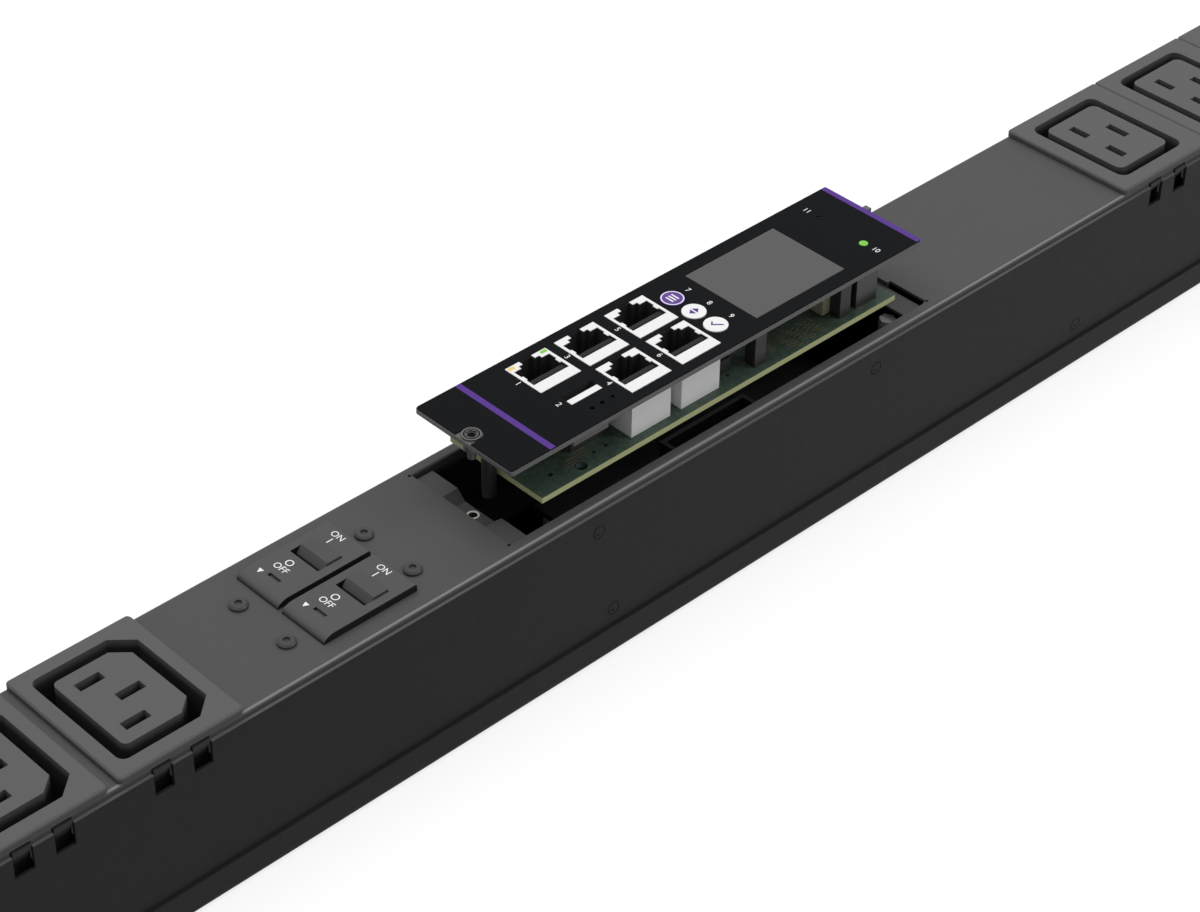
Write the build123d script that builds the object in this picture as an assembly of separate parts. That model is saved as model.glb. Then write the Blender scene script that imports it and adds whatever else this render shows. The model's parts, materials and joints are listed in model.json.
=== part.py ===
from build123d import *
import math
import os

# Rack power distribution unit, lying on its back with the outlets up.
# Millimetres. X runs along the case, Y across it and Z up out of its front.
# The origin is the middle of the back face.

# Folded steel case
sheet = 0.8
cover_width = 41.4
case_height = 48.5
cover_flange = 6.0
wall_top_drop = 1.9
back_flange = 8.9
back_bend_radius = 2.0
wall_bend_radius = 1.2
end_margin = 22.0
bend_radius = 1.0

# Outlets shared by both sizes
plate_raise = 1.75
plate_corner = 1.2
plate_edge_chamfer = 0.4
plate_overhang = 0.2
socket_depth = 16.0
socket_wall = 1.4
socket_floor = 3.0
hook_width = 4.6
hook_drop = 5.4
hook_clearance = 0.25
window_width = 5.1
window_depth = 6.2
slot_depth = 14.0
hook_tip = 1.2
hook_root = 0.5

# Small outlets
c13_count = 8
c13_pitch = 36.1
c13_plate = 33.4
c13_boss_x = 19.2
c13_boss_y = 26.5
c13_boss_chamfer = 4.0
c13_groove_x = 26.0
c13_groove_y = 33.8
c13_groove_chamfer = 5.2
c13_slot = 6.6
c13_slot_width = 2.7
c13_pole_offset = 8.3
c13_pole_x = -3.0
c13_earth_x = 1.8
c13_hook_span = 10.4
c13_hook_shift = -0.7

# Large outlets
c19_count = 4
c19_pitch = 38.0
c19_plate = 37.9
c19_boss_x = 20.9
c19_boss_y = 26.7
c19_groove_x = 26.2
c19_groove_y = 33.0
c19_groove_shift = -1.0
c19_slot = 6.1
c19_slot_width = 2.4
c19_earth_slot = 6.9
c19_pole_offset = 6.45
c19_pole_x = -5.0
c19_earth_x = 3.6
c19_hook_span = 10.7
c19_hook_shift = 0.0
outlet_corner = 2.2
boss_corner = 1.6

# Circuit breakers
breaker_gap_before = 26.4
breaker_length = 27.4
breaker_width = 14.8
breaker_pitch = 16.3
breaker_raise = 2.0
breaker_wall = 0.6
breaker_inset = 0.5
breaker_clearance = 0.2
breaker_nose = 3.6
breaker_edge = 0.4
breaker_slot_long = 4.0
breaker_slot_wide = 1.0
breaker_slot_drop = 0.8
breaker_slot_from_nose = 5.2
lever_length = 5.5
lever_width = 9.5
lever_from_end = 6.5
lever_depth = 9.0
lever_pin_radius = 1.2
lever_pin_drop = 6.0
lever_proud = 0.5
lever_gap = 0.25
lever_travel = 12.0
breaker_screw_span = 36.9
breaker_screw_pitch = 17.2
breaker_screw_shift = -0.8
breaker_screw_head = 4.6
breaker_screw_rise = 1.1
breaker_screw_hole = 1.3
breaker_screw_chamfer = 0.45
breaker_screw_key = 1.7
breaker_screw_length = 5.0

# Bay for the controller module
bay_gap_before = 26.7
bay_length = 143.4
bay_width = 34.8
bay_recess = 1.5
bay_lip_drop = 2.4
bay_lip_bend = 0.6
shelf_margin = 0.5
shelf_side_gap = 0.5
right_shelf = 6.2
shelf_neck = 10.2
shelf_slit = 1.1
dimple_width = 15.4
dimple_drop = 2.5
dimple_slope = 2.6
insert_radius = 1.6
insert_bore = 1.1
insert_length = 4.0
insert_flange = 0.8
bay_gap_after = 78.0

# Controller module, drawn out of its bay
module_lift = 20.0
module_length = 140.5
module_gap = 1.1
module_width = 33.7
module_sheet = 1.2
label_sheet = 0.3
module_corner = 1.0
label_margin = 0.2
tongue_reach = 1.5
tongue_wide = 1.9
tongue_y = 2.95
jack_x = 13.0
jack_y = 12.7
jack_gap = 0.2
jack_near_wall = 3.35
jack_base = 1.6
plug_wide = 11.4
plug_tall = 7.0
key_wide = 6.7
key_tall = 1.0
latch_wide = 4.0
latch_depth = 9.0
usb_open_x = 10.4
usb_open_y = 4.4
usb_wall = 0.5
usb_base = 1.0
usb_tongue = 1.6
display_x = 31.4
display_y = 24.7
display_thick = 3.2
display_border = 1.5
display_foot_x = 3.8
display_foot_y = 3.4
processor_side = 12.0
processor_high = 1.3
coil_place = (-9.5, -9.2)
coil_radius = 3.2
coil_high = 0.8
relay_place = (14.2, -8.1)
relay_long = 6.6
relay_wide = 4.2
relay_high = 5.5
driver_place = (8.5, 4.0)
button_clearance = 0.05
button_radius = 3.1
button_pitch = 7.5
button_rim = 0.5
button_stem = 2.4
button_flange = 0.6
button_travel = 0.5
button_proud = 0.15
switch_height = 4.0
switch_side = 5.6
switch_gap = 0.05
light_radius = 1.15
light_from_end = 12.2
reset_from_end = 11.9
reset_switch_height = 3.5
reset_switch_side = 3.0
reset_plunger_radius = 0.9
reset_drop = 2.0
pin_hole_radius = 0.6
pin_hole_pitch = 3.25
reset_radius = 0.6
reset_travel = 0.3
board_thick = 1.6
board_width = 32.2
board_from_end = 10.3
board_to_end = 8.25
board_drop = 13.5
board_hole = (15.0, -13.4)
board_hole_radius = 1.3
board_via = (7.4, -10.7)
board_via_radius = 0.8
spacer_across = 4.5
spacer_inset = 3.4
spacer_y = 12.8
pillar_long = 7.6
pillar_wide = 3.6
pillar_from_end = 8.2
pillar_inset = 4.3
guide_radius = 1.8
guide_length = 19.0
guide_pitch = 5.2
captive_from_end = 2.9
captive_head_radius = 2.5
captive_head_proud = 0.2
captive_notch_gap = 0.25
captive_key = 2.6
captive_key_depth = 0.4
captive_shank_radius = 1.0
captive_shank_length = 3.1
captive_collar_radius = 2.05
captive_collar_rim = 0.3
captive_seat_gap = 0.3

# Docking connector under the module
dock_from_start = 84.0
dock_x = 30.0
dock_y = 8.0
dock_height = 9.0
dock_wall = 1.2
dock_floor = 1.5
dock_clearance = 0.4
plug_depth = 6.5
dock_board_thick = 1.6
dock_board_length = 96.0
dock_board_width = 30.0
dock_board_height = 19.0
post_across = 4.5
post_inset = 4.0
post_lane_inset = 2.8
end_post_across = 4.0
end_post_drop = 4.5
end_post_y = -11.9
end_post_inset = 0.7

# Conductors
bar_wide = 3.4
bar_tall = 7.0
bar_lane = 7.35
feed_lane = 14.0
bar_base = 8.0
comb_base_height = 4.0
comb_length = 8.0
comb_width = 30.0
comb_shift = 1.8
bar_overhang = 14.0
link_gap = 1.2
link_thick = 1.4
link_rise = 2.4
contact_sheet = 0.7
contact_gap = 0.15
contact_fork = 4.6
contact_drop = 4.0
contact_web = 1.0
fork_leg = 0.4

# Ends, gland and hardware
cap_thick = 3.0
cap_plug = 4.0
cap_wall = 1.6
cap_clearance = 0.15
cap_screw_radius = 1.5
cap_screw_inset = 7.0
cap_screw_z = 6.0
gland_radius = 8.0
gland_bore = 5.0
gland_body_length = 6.0
gland_hex_across = 19.0
gland_wall = 1.5
gland_nut_length = 12.0
gland_nut_top = 3.0
gland_mouth_gap = 1.2
gland_spigot_length = 6.0
gland_thread_length = 10.0
gland_locknut_thick = 4.0
gland_seal_overlap = 2.0
side_screw_radius = 2.3
side_screw_shank = 1.2
side_screw_length = 3.0
mount_spacing = 746.0
mount_hole_radius = 2.1
service_window = 22.0
service_window_width = 20.0

# Places along the case, worked out from the sizes above
half_cover = cover_width / 2
wall_outer = half_cover + sheet
wall_inner = half_cover
half_width = wall_outer + sheet
c13_run = (c13_count - 1) * c13_pitch + c13_plate
c19_run = (c19_count - 1) * c19_pitch + c19_plate
case_length = (2 * end_margin + c13_run + breaker_gap_before + breaker_length
               + bay_gap_before + bay_length + bay_gap_after + c19_run)
case_start = -case_length / 2
case_end = case_length / 2
c13_start = case_start + end_margin
breaker_start = c13_start + c13_run + breaker_gap_before
breaker_x = breaker_start + breaker_length / 2
bay_start = breaker_start + breaker_length + bay_gap_before
bay_end = bay_start + bay_length
c19_start = bay_end + bay_gap_after
c13_places = [c13_start + c13_plate / 2 + i * c13_pitch for i in range(c13_count)]
c19_places = [c19_start + c19_plate / 2 + i * c19_pitch for i in range(c19_count)]
front = case_height
under_cover = front - sheet
plate_top = front + plate_raise
socket_body = socket_depth + socket_floor
wall_top = front - wall_top_drop
shelf_top = front - bay_recess
dimple_top = shelf_top - dimple_drop
module_x0 = bay_start + module_gap
module_x1 = module_x0 + module_length
insert_x = module_x0 + captive_from_end
left_shelf = insert_x + insert_radius + shelf_margin - bay_start

parts = {}


def block(x0, x1, y0, y1, z0, z1):
    """Return a box given by its two corners."""
    size = Box(x1 - x0, y1 - y0, z1 - z0)
    return Pos((x0 + x1) / 2, (y0 + y1) / 2, (z0 + z1) / 2) * size


def centred(x, y, z0, z1, long_x, long_y):
    """Return a box centred on x and y, from z0 up to z1."""
    return block(x - long_x / 2, x + long_x / 2, y - long_y / 2, y + long_y / 2, z0, z1)


def rod(x, y, z0, z1, radius):
    """Return an upright round bar."""
    return Pos(x, y, (z0 + z1) / 2) * Cylinder(radius, z1 - z0)


def rod_x(x0, x1, y, z, radius):
    """Return a round bar along X."""
    return Pos((x0 + x1) / 2, y, z) * Rot(0, 90, 0) * Cylinder(radius, x1 - x0)


def rod_y(x, y0, y1, z, radius):
    """Return a round bar along Y."""
    return Pos(x, (y0 + y1) / 2, z) * Rot(90, 0, 0) * Cylinder(radius, y1 - y0)


def hexagon(x, y, z0, z1, across):
    """Return an upright hexagonal bar."""
    outline = RegularPolygon(across / 2, 6, major_radius=False)
    return Pos(x, y, z0) * extrude(outline, z1 - z0)


def profile_along_x(points, x0, x1):
    """Return a closed outline of (y, z) points swept from x0 to x1."""
    outline = make_face(Polyline(*points, close=True))
    return Pos(x0, 0, 0) * extrude(Plane.YZ * outline, x1 - x0)


def profile_along_y(points, y0, y1):
    """Return a closed outline of (x, z) points swept from y0 to y1."""
    outline = make_face(Polyline(*points, close=True))
    return Pos(0, y1, 0) * extrude(Plane.XZ * outline, y1 - y0)


def rounded(x, y, z0, z1, long_x, long_y, radius):
    """Return an upright block with rounded corners."""
    outline = RectangleRounded(long_x, long_y, radius)
    return Pos(x, y, z0) * extrude(outline, z1 - z0)


def chamfered(x, y, z0, z1, long_x, long_y, chamfer_length, radius):
    """Return a block with both +X corners cut and both -X corners rounded."""
    half_x = long_x / 2
    half_y = long_y / 2
    outline = make_face(Polyline(
        (-half_x, -half_y),
        (half_x - chamfer_length, -half_y),
        (half_x, -half_y + chamfer_length * 0.88),
        (half_x, half_y - chamfer_length * 0.88),
        (half_x - chamfer_length, half_y),
        (-half_x, half_y),
        close=True))
    left = outline.vertices().filter_by_position(Axis.X, -half_x - 0.1, -half_x + 0.1)
    outline = fillet(left, radius)
    return Pos(x, y, z0) * extrude(outline, z1 - z0)


def channel(half, floor, top, thickness, radius, x0, x1):
    """Return a folded channel, open upwards, with bent lower corners."""
    outer = make_face(Polyline((-half, top), (-half, floor), (half, floor), (half, top), close=True))
    lower = outer.vertices().filter_by_position(Axis.Y, floor - 0.1, floor + 0.1)
    outer = fillet(lower, radius)
    inner_half = half - thickness
    inner_floor = floor + thickness
    inner = make_face(Polyline((-inner_half, top + 1), (-inner_half, inner_floor),
                               (inner_half, inner_floor), (inner_half, top + 1), close=True))
    inner_lower = inner.vertices().filter_by_position(Axis.Y, inner_floor - 0.1, inner_floor + 0.1)
    inner = fillet(inner_lower, radius - thickness)
    section = outer - inner
    return Pos(x0, 0, 0) * extrude(Plane.YZ * section, x1 - x0)


def hook_centres(x, span, shift):
    """Return the places of an outlet's two hooks along X."""
    return (x + shift - span / 2, x + shift + span / 2)


# Front cover

def front_cover():
    """Folded front sheet with the outlet, breaker and module openings."""
    depth = cover_flange
    cover = block(case_start, case_end, -half_cover, half_cover, front - depth, front)
    long_edges = cover.edges().filter_by(Axis.X).group_by(Axis.Z)[-1]
    cover = fillet(long_edges, bend_radius)
    hollow = block(case_start - 1, case_end + 1, -half_cover + sheet, half_cover - sheet,
                   front - depth - 1, front - sheet)
    cover = cover - hollow
    body_y = c13_groove_y / 2 + socket_wall + hook_clearance
    for places, groove, shift, span, hook_shift in (
            (c13_places, c13_groove_x, 0.0, c13_hook_span, c13_hook_shift),
            (c19_places, c19_groove_x, c19_groove_shift, c19_hook_span, c19_hook_shift)):
        for x in places:
            long_x = groove + 2 * socket_wall + 2 * hook_clearance
            cover -= centred(x + shift, 0, front - 2 * sheet, front + 1, long_x, 2 * body_y)
            for hook_x in hook_centres(x, span, hook_shift):
                cover -= centred(hook_x, 0, front - depth - 1, under_cover, window_width, cover_width + 2)
    for side in (-1, 1):
        cover -= centred(breaker_x, side * breaker_pitch / 2, front - 2 * sheet, front + 1,
                         breaker_body_x + 2 * breaker_clearance, breaker_body_y + 2 * breaker_clearance)
    for x, y in breaker_screw_places():
        cover -= rod(x, y, front - 2 * sheet, front + 1, breaker_screw_hole)
    half = bay_width / 2 + bay_lip_bend
    cover -= block(bay_start, bay_end, -half, half, front - 2 * sheet, front + 1)
    for side in (-1, 1):
        cover += bay_lip(side)
    cover += bay_shelf(bay_start, 1, left_shelf, True)
    for side in (-1, 1):
        y0 = min(side * shelf_neck / 2, side * bay_width / 2)
        y1 = max(side * shelf_neck / 2, side * bay_width / 2)
        cover -= block(bay_end - 0.5, bay_end + shelf_slit, y0, y1, front - 2 * sheet, front + 1)
    cover += bay_shelf(bay_end, -1, right_shelf, False)
    return cover


def bay_lip(side):
    """Edge folded down along one long side of the bay, with its rounded bend."""
    edge = bay_width / 2
    lip = block(bay_start, bay_end, edge, edge + sheet, front - bay_lip_drop, front)
    inner_top = lip.edges().filter_by(Axis.X).group_by(Axis.Z)[-1].sort_by(Axis.Y)[0]
    lip = fillet(inner_top, bay_lip_bend)
    lip += block(bay_start, bay_end, edge + bay_lip_bend, edge + 2 * sheet, under_cover, front)
    return lip if side > 0 else mirror(lip, Plane.XZ)


def bay_shelf(x, inward, length, dimpled):
    """Lowered end of the bay, joined to the cover by its step."""
    low = shelf_top - sheet
    outer = x - inward * sheet
    inner = x + inward * length
    x0 = min(outer, inner)
    x1 = max(outer, inner)
    half = bay_width / 2 - shelf_side_gap
    step0 = min(outer, x)
    step1 = max(outer, x)
    if not dimpled:
        neck = shelf_neck / 2
        step = block(step0, step1, -neck, neck, low, front - sheet / 2)
        return step + block(min(x, inner), max(x, inner), -half, half, low, low + sheet)
    step = block(step0, step1, -half, half, low, front - sheet / 2)
    flat = dimple_width / 2
    floor = flat - dimple_slope
    drop = dimple_drop
    under = [(-half, low), (-flat, low), (-floor, low - drop),
             (floor, low - drop), (flat, low), (half, low)]
    points = under + [(y, z + sheet) for y, z in reversed(under)]
    dimple = profile_along_x(points, x0, x1)
    step_skirt = block(step0, step1, -flat, flat, low - drop, low + sheet)
    web = profile_along_x(under[1:5], step0, step1)
    shelf = step + dimple + (step_skirt & web)
    return shelf - rod(insert_x, 0, low - drop - 1, front, insert_radius)



# Chassis and back cover

def chassis():
    """Folded channel that carries everything, with hook windows in its walls."""
    body = channel(wall_outer, sheet, wall_top, sheet, wall_bend_radius, case_start, case_end)
    for places, span, shift in ((c13_places, c13_hook_span, c13_hook_shift),
                                (c19_places, c19_hook_span, c19_hook_shift)):
        for x in places:
            for hook_x in hook_centres(x, span, shift):
                body -= centred(hook_x, 0, wall_top - window_depth, front, window_width, 2 * half_width)
            body -= centred(x, 0, 0, 3 * sheet, service_window, service_window_width)
    for x, z in side_screw_places():
        for side in (-1, 1):
            body -= countersunk_head(x, z, side)
    for x in mount_places():
        body -= rod(x, 0, -1, 3 * sheet, mount_hole_radius)
    return body


def back_cover():
    """Shallow channel wrapped round the back of the chassis."""
    cover = channel(half_width, 0, back_flange, sheet, back_bend_radius, case_start, case_end)
    for x in mount_places():
        cover -= rod(x, 0, -1, 3 * sheet, mount_hole_radius)
    return cover


def mount_places():
    """Places of the threaded mounting holes in the back."""
    return (-mount_spacing / 2, mount_spacing / 2)


def side_screw_places():
    """Places of the countersunk screws on each wall."""
    upper = front - 8.0
    lower = front - 34.5
    return ((bay_start + 24.8, upper), (bay_end - 21.5, upper),
            (bay_start + 30.0, lower), (c19_start - 15.8, lower),
            (c13_start + c13_pitch, lower))


def countersunk_head(x, z, side):
    """Cone of a countersunk head, flush with the outside of a wall."""
    cone = Cone(side_screw_shank, side_screw_radius, sheet)
    return Pos(x, side * (wall_outer - sheet / 2), z) * Rot(-90 * side, 0, 0) * cone


def side_screws():
    """Flush countersunk screws with their short shanks."""
    group = []
    for x, z in side_screw_places():
        for side in (-1, 1):
            seat = side * wall_inner
            tip = seat - side * side_screw_length
            shank = rod_y(x, min(seat, tip), max(seat, tip), z, side_screw_shank)
            group.append(countersunk_head(x, z, side) + shank)
    return Compound(children=group)


# Outlets

def outlet_base(x, plate_x, groove_x, groove_y, shift, hooks):
    """Face plate, socket body and the four snap hooks."""
    plate = rounded(x, 0, front, plate_top, plate_x, cover_width + 2 * plate_overhang, plate_corner)
    top_edges = plate.edges().group_by(Axis.Z)[-1]
    plate = chamfer(top_edges, plate_edge_chamfer)
    long_x = groove_x + 2 * socket_wall
    long_y = groove_y + 2 * socket_wall
    body = centred(x + shift, 0, plate_top - socket_body, front, long_x, long_y)
    base = plate + body
    hook_top = under_cover - hook_clearance
    reach = wall_outer - hook_clearance
    side_y = long_y / 2
    hook_low = hook_top - hook_drop - hook_tip
    points = [(side_y - hook_root, hook_top), (reach, hook_top), (reach, hook_top - hook_tip),
              (side_y, hook_low), (side_y - hook_root, hook_low)]
    mirrored = [(-y, z) for y, z in points]
    for hook_x in hooks:
        for outline in (points, mirrored):
            base += profile_along_x(outline, hook_x - hook_width / 2, hook_x + hook_width / 2)
    return base


def c13_outlet(x):
    """Small outlet with cut corners towards its earth side."""
    hooks = hook_centres(x, c13_hook_span, c13_hook_shift)
    base = outlet_base(x, c13_plate, c13_groove_x, c13_groove_y, 0.0, hooks)
    floor = plate_top - socket_depth
    groove = chamfered(x, 0, floor, plate_top + 1, c13_groove_x, c13_groove_y, c13_groove_chamfer,
                       outlet_corner)
    boss = chamfered(x, 0, floor - 0.5, plate_top, c13_boss_x, c13_boss_y, c13_boss_chamfer,
                     boss_corner)
    base = base - groove + boss
    for slot_x, slot_y in c13_slots(x):
        base -= centred(slot_x, slot_y, 0, plate_top + 1, c13_slot, c13_slot_width)
    return base


def c13_slots(x):
    """Live, neutral and earth slots of a small outlet."""
    pole_x = x + c13_pole_x
    return ((pole_x, c13_pole_offset), (pole_x, -c13_pole_offset), (x + c13_earth_x, 0.0))


def c19_outlet(x):
    """Large outlet with its three flat slots across the case."""
    hooks = hook_centres(x, c19_hook_span, c19_hook_shift)
    base = outlet_base(x, c19_plate, c19_groove_x, c19_groove_y, c19_groove_shift, hooks)
    floor = plate_top - socket_depth
    middle = x + c19_groove_shift
    groove = rounded(middle, 0, floor, plate_top + 1, c19_groove_x, c19_groove_y, outlet_corner + 0.6)
    boss = rounded(middle, 0, floor - 0.5, plate_top, c19_boss_x, c19_boss_y, outlet_corner)
    base = base - groove + boss
    for slot_x, slot_y, long_y in c19_slots(x):
        base -= centred(slot_x, slot_y, 0, plate_top + 1, c19_slot_width, long_y)
    return base


def c19_slots(x):
    """Live, neutral and earth slots of a large outlet with their lengths."""
    return ((x + c19_pole_x, c19_pole_offset, c19_slot), (x + c19_pole_x, -c19_pole_offset, c19_slot),
            (x + c19_earth_x, 0.0, c19_earth_slot))


bar_top = bar_base + bar_tall


def outlet_contacts():
    """Spring contacts in every slot, with tails down to the bars."""
    group = []
    for x in c13_places:
        for slot_x, slot_y in c13_slots(x):
            fork = contact(c13_slot_width - 2 * contact_gap)
            group.append(Pos(slot_x, slot_y, 0) * fork)
    for x in c19_places:
        for slot_x, slot_y, _ in c19_slots(x):
            fork = contact(c19_slot_width - 2 * contact_gap)
            group.append(Pos(slot_x, slot_y, 0) * Rot(0, 0, 90) * fork)
    return Compound(children=group)


def contact(wide):
    """Fork that grips a flat pin, with its tail standing on a bar."""
    low = plate_top - slot_depth
    top = plate_top - contact_drop
    half = wide / 2
    gap = half - fork_leg
    tail = contact_sheet / 2
    right = [(tail, bar_top), (tail, low), (half, low), (half, top), (gap, top), (gap, low + contact_web)]
    left = [(-y, z) for y, z in reversed(right)]
    return profile_along_x(right + left, -contact_fork / 2, contact_fork / 2)


# Circuit breakers

lever_x = breaker_start + breaker_length - lever_from_end - lever_length / 2
lever_pivot_z = front + breaker_raise - lever_pin_drop
breaker_body_x = breaker_length - 2 * (breaker_wall + breaker_inset)
breaker_body_y = breaker_width - 2 * (breaker_wall + breaker_inset)
lever_swing = (lever_pin_drop + lever_proud) * math.tan(math.radians(lever_travel))
lever_window = lever_length + 2 * lever_gap + lever_swing
link_low = bar_top + link_gap
link_high = link_low + link_thick
breaker_floor = link_high + link_rise


def breaker(y):
    """Moulded breaker with a rounded nose and the window of its lever."""
    x0 = breaker_start
    x1 = breaker_start + breaker_length
    top = front + breaker_raise
    edges = (Line((x0 + breaker_nose, top), (x1 - breaker_edge, top)),
             Line((x1 - breaker_edge, top), (x1, top - breaker_edge)),
             Line((x1, top - breaker_edge), (x1, front)), Line((x1, front), (x0, front)),
             EllipticalCenterArc((x0 + breaker_nose, front), breaker_nose, breaker_raise, 90, arc_size=90))
    outline = Plane.XZ * make_face(Wire(edges))
    bezel = Pos(0, y + breaker_width / 2, 0) * extrude(outline, breaker_width)
    body = centred(breaker_x, y, breaker_floor, front, breaker_body_x, breaker_body_y)
    whole = bezel + body
    window_x0 = lever_x + lever_length / 2 + lever_gap - lever_window
    window_x1 = lever_x + lever_length / 2 + lever_gap
    half = lever_width / 2 + lever_gap
    whole -= block(window_x0, window_x1, y - half, y + half, top - lever_depth - 1.5, top + 1)
    whole -= rod_y(lever_x, y - half - 1.0, y + half + 1.0, lever_pivot_z, lever_pin_radius + 0.05)
    whole -= centred(x0 + breaker_slot_from_nose, y, top - breaker_slot_drop, top + 1,
                     breaker_slot_wide, breaker_slot_long)
    return whole


def breaker_lever(y):
    """Rocking lever with a sloped push face and its trunnion pins."""
    top = front + breaker_raise + lever_proud
    x0 = lever_x - lever_length / 2
    x1 = lever_x + lever_length / 2
    low = front + breaker_raise - lever_depth
    points = [(lever_x - 1.6, low), (lever_x + 1.6, low), (x1 - 0.3, lever_pivot_z), (x1, top),
              (x0 + 1.5, top), (x0, top - 1.9), (x0 + 0.3, lever_pivot_z)]
    lever = profile_along_y(points, y - lever_width / 2, y + lever_width / 2)
    reach = lever_width / 2 + 1.0
    return lever + rod_y(lever_x, y - reach, y + reach, lever_pivot_z, lever_pin_radius)


def breaker_screw_places():
    """Places of the four screws round the breakers."""
    middle = breaker_x + breaker_screw_shift
    return [(middle + end * breaker_screw_span / 2, breaker_screw_shift + side * breaker_screw_pitch / 2)
            for side in (-1, 1) for end in (-1, 1)]


def breaker_screws():
    """Pan-head screws that hold the two breakers to the cover."""
    group = []
    for x, y in breaker_screw_places():
        top = front + breaker_screw_rise
        head = rod(x, y, front, top, breaker_screw_head / 2)
        head = chamfer(head.edges().group_by(Axis.Z)[-1], breaker_screw_chamfer)
        head -= hexagon(x, y, top - breaker_screw_rise / 2, top + 1, breaker_screw_key)
        shank = rod(x, y, front - breaker_screw_length, front, breaker_screw_hole - 0.05)
        group.append(head + shank)
    return Compound(children=group)


# Controller module

module_top = front + module_lift
module_low = module_top - label_sheet - module_sheet
jack_row_y = 7.25
jack_first_x = module_x0 + 32.1
jack_second_x = jack_first_x + 15.9
jack_third_x = jack_second_x + 16.7
jack_places = {
    "jack_ethernet": (jack_first_x, jack_row_y),
    "jack_in": (jack_second_x, jack_row_y),
    "jack_sensor_1": (jack_third_x, jack_row_y),
    "jack_out": (jack_second_x, -jack_row_y),
    "jack_sensor_2": (jack_third_x, -jack_row_y),
}
usb_place = (module_x0 + 32.7, -5.3)
hole_places = [(module_x0 + 30.4 + pin_hole_pitch * i, -11.55) for i in range(3)]
button_x = module_x0 + 75.6
button_places = {
    "menu_button": button_pitch,
    "scroll_button": 0.0,
    "select_button": -button_pitch,
}
display_place = (module_x0 + 100.6, 0.0)
light_place = (module_x1 - light_from_end, -7.8)
reset_place = (module_x1 - reset_from_end, 7.9)
captive_x = module_x0 + captive_from_end
board_top = module_top - board_drop
board_low = board_top - board_thick
board_x0 = module_x0 + board_from_end
board_x1 = module_x1 - board_to_end
usb_x = usb_open_x + 2 * usb_wall
usb_y = usb_open_y + 2 * usb_wall


def module_cut_outs(extra, z0, z1):
    """Cutters for everything that comes up through the module's face."""
    cutters = []
    for x, y in jack_places.values():
        cutters.append(centred(x, y, z0, z1, jack_x + 2 * extra, jack_y + 2 * extra))
    cutters.append(centred(usb_place[0], usb_place[1], z0, z1, usb_open_x, usb_open_y))
    for y in button_places.values():
        cutters.append(rod(button_x, y, z0, z1, button_radius + extra))
    display = display_place
    cutters.append(centred(display[0], display[1], z0, z1, display_x + 2 * extra, display_y + 2 * extra))
    cutters.append(rod(light_place[0], light_place[1], z0, z1, light_radius + extra))
    cutters.append(rod(reset_place[0], reset_place[1], z0, z1, reset_radius))
    return cutters


def module_plate():
    """Steel face plate of the module with its locating tongue."""
    middle = (module_x0 + module_x1) / 2
    top = module_top - label_sheet
    plate = rounded(middle, 0, module_low, top, module_length, module_width, module_corner)
    for cutter in module_cut_outs(jack_gap, module_low - 1, module_top + 1):
        plate -= cutter
    slot_x, slot_y = hole_places[1]
    plate -= centred(slot_x, slot_y, module_low - 1, module_top + 1,
                     2 * pin_hole_pitch + 4 * pin_hole_radius, 4 * pin_hole_radius)
    plate -= rod(captive_x, 0, module_low - 1, module_top + 1, captive_collar_radius)
    plate += centred(module_x1, tongue_y, module_low, top, 2 * tongue_reach, tongue_wide)
    return plate


def module_label():
    """Printed overlay, cut back round the captive screw."""
    middle = (module_x0 + module_x1) / 2
    low = module_top - label_sheet
    label = rounded(middle, 0, low, module_top, module_length - 2 * label_margin,
                    module_width - 2 * label_margin, module_corner - 0.2)
    for cutter in module_cut_outs(jack_gap, low - 1, module_top + 1):
        label -= cutter
    for x, y in hole_places:
        label -= rod(x, y, low - 1, module_top + 1, pin_hole_radius)
    notch = captive_head_radius + captive_notch_gap
    label -= rod(captive_x, 0, low - 1, module_top + 1, notch)
    label -= block(module_x0 - 1, captive_x, -notch, notch, low - 1, module_top + 1)
    return label


def jack(x, y):
    """Upright network jack with its stepped plug opening."""
    body = centred(x, y, board_top, module_top, jack_x, jack_y)
    low = board_top + jack_base
    top = module_top + 1
    plug_y0 = y - jack_y / 2 + jack_near_wall
    key_y0 = plug_y0 + plug_tall
    far = y + jack_y / 2 + 1
    body -= block(x - plug_wide / 2, x + plug_wide / 2, plug_y0, key_y0, low, top)
    body -= block(x - key_wide / 2, x + key_wide / 2, plug_y0, key_y0 + key_tall, low, top)
    body -= block(x - latch_wide / 2, x + latch_wide / 2, plug_y0, far, module_top - latch_depth, top)
    return body


def usb_port():
    """Upright host port with its tongue, under its opening in the face plate."""
    x, y = usb_place
    top = module_low - button_clearance
    shell = centred(x, y, board_top, top, usb_x, usb_y)
    shell -= centred(x, y, board_top + usb_base, top + 1, usb_open_x, usb_open_y)
    near = y - usb_open_y / 2
    tongue = block(x - usb_open_x / 2 + usb_wall, x + usb_open_x / 2 - usb_wall, near + usb_wall / 2,
                   near + usb_wall / 2 + usb_tongue, board_top, top - usb_wall)
    return shell + tongue


def display_window():
    """Clear window flush with the overlay."""
    x, y = display_place
    return centred(x, y, module_top - label_sheet - module_sheet, module_top, display_x, display_y)


def display_panel():
    """Liquid crystal panel held under its window on four feet."""
    x, y = display_place
    top = module_low
    long_x = display_x + 2 * display_border
    long_y = display_y + 2 * display_border
    panel = centred(x, y, top - display_thick, top, long_x, long_y)
    foot_y = long_y / 2 - display_foot_y / 2
    for side in (-1, 1):
        for end in (-1, 1):
            foot_x = x + end * (long_x / 2 - display_foot_x / 2)
            panel += centred(foot_x, y + side * foot_y, board_top, top - display_thick,
                             display_foot_x, display_foot_y)
    return panel


switch_top = board_top + switch_height


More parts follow.
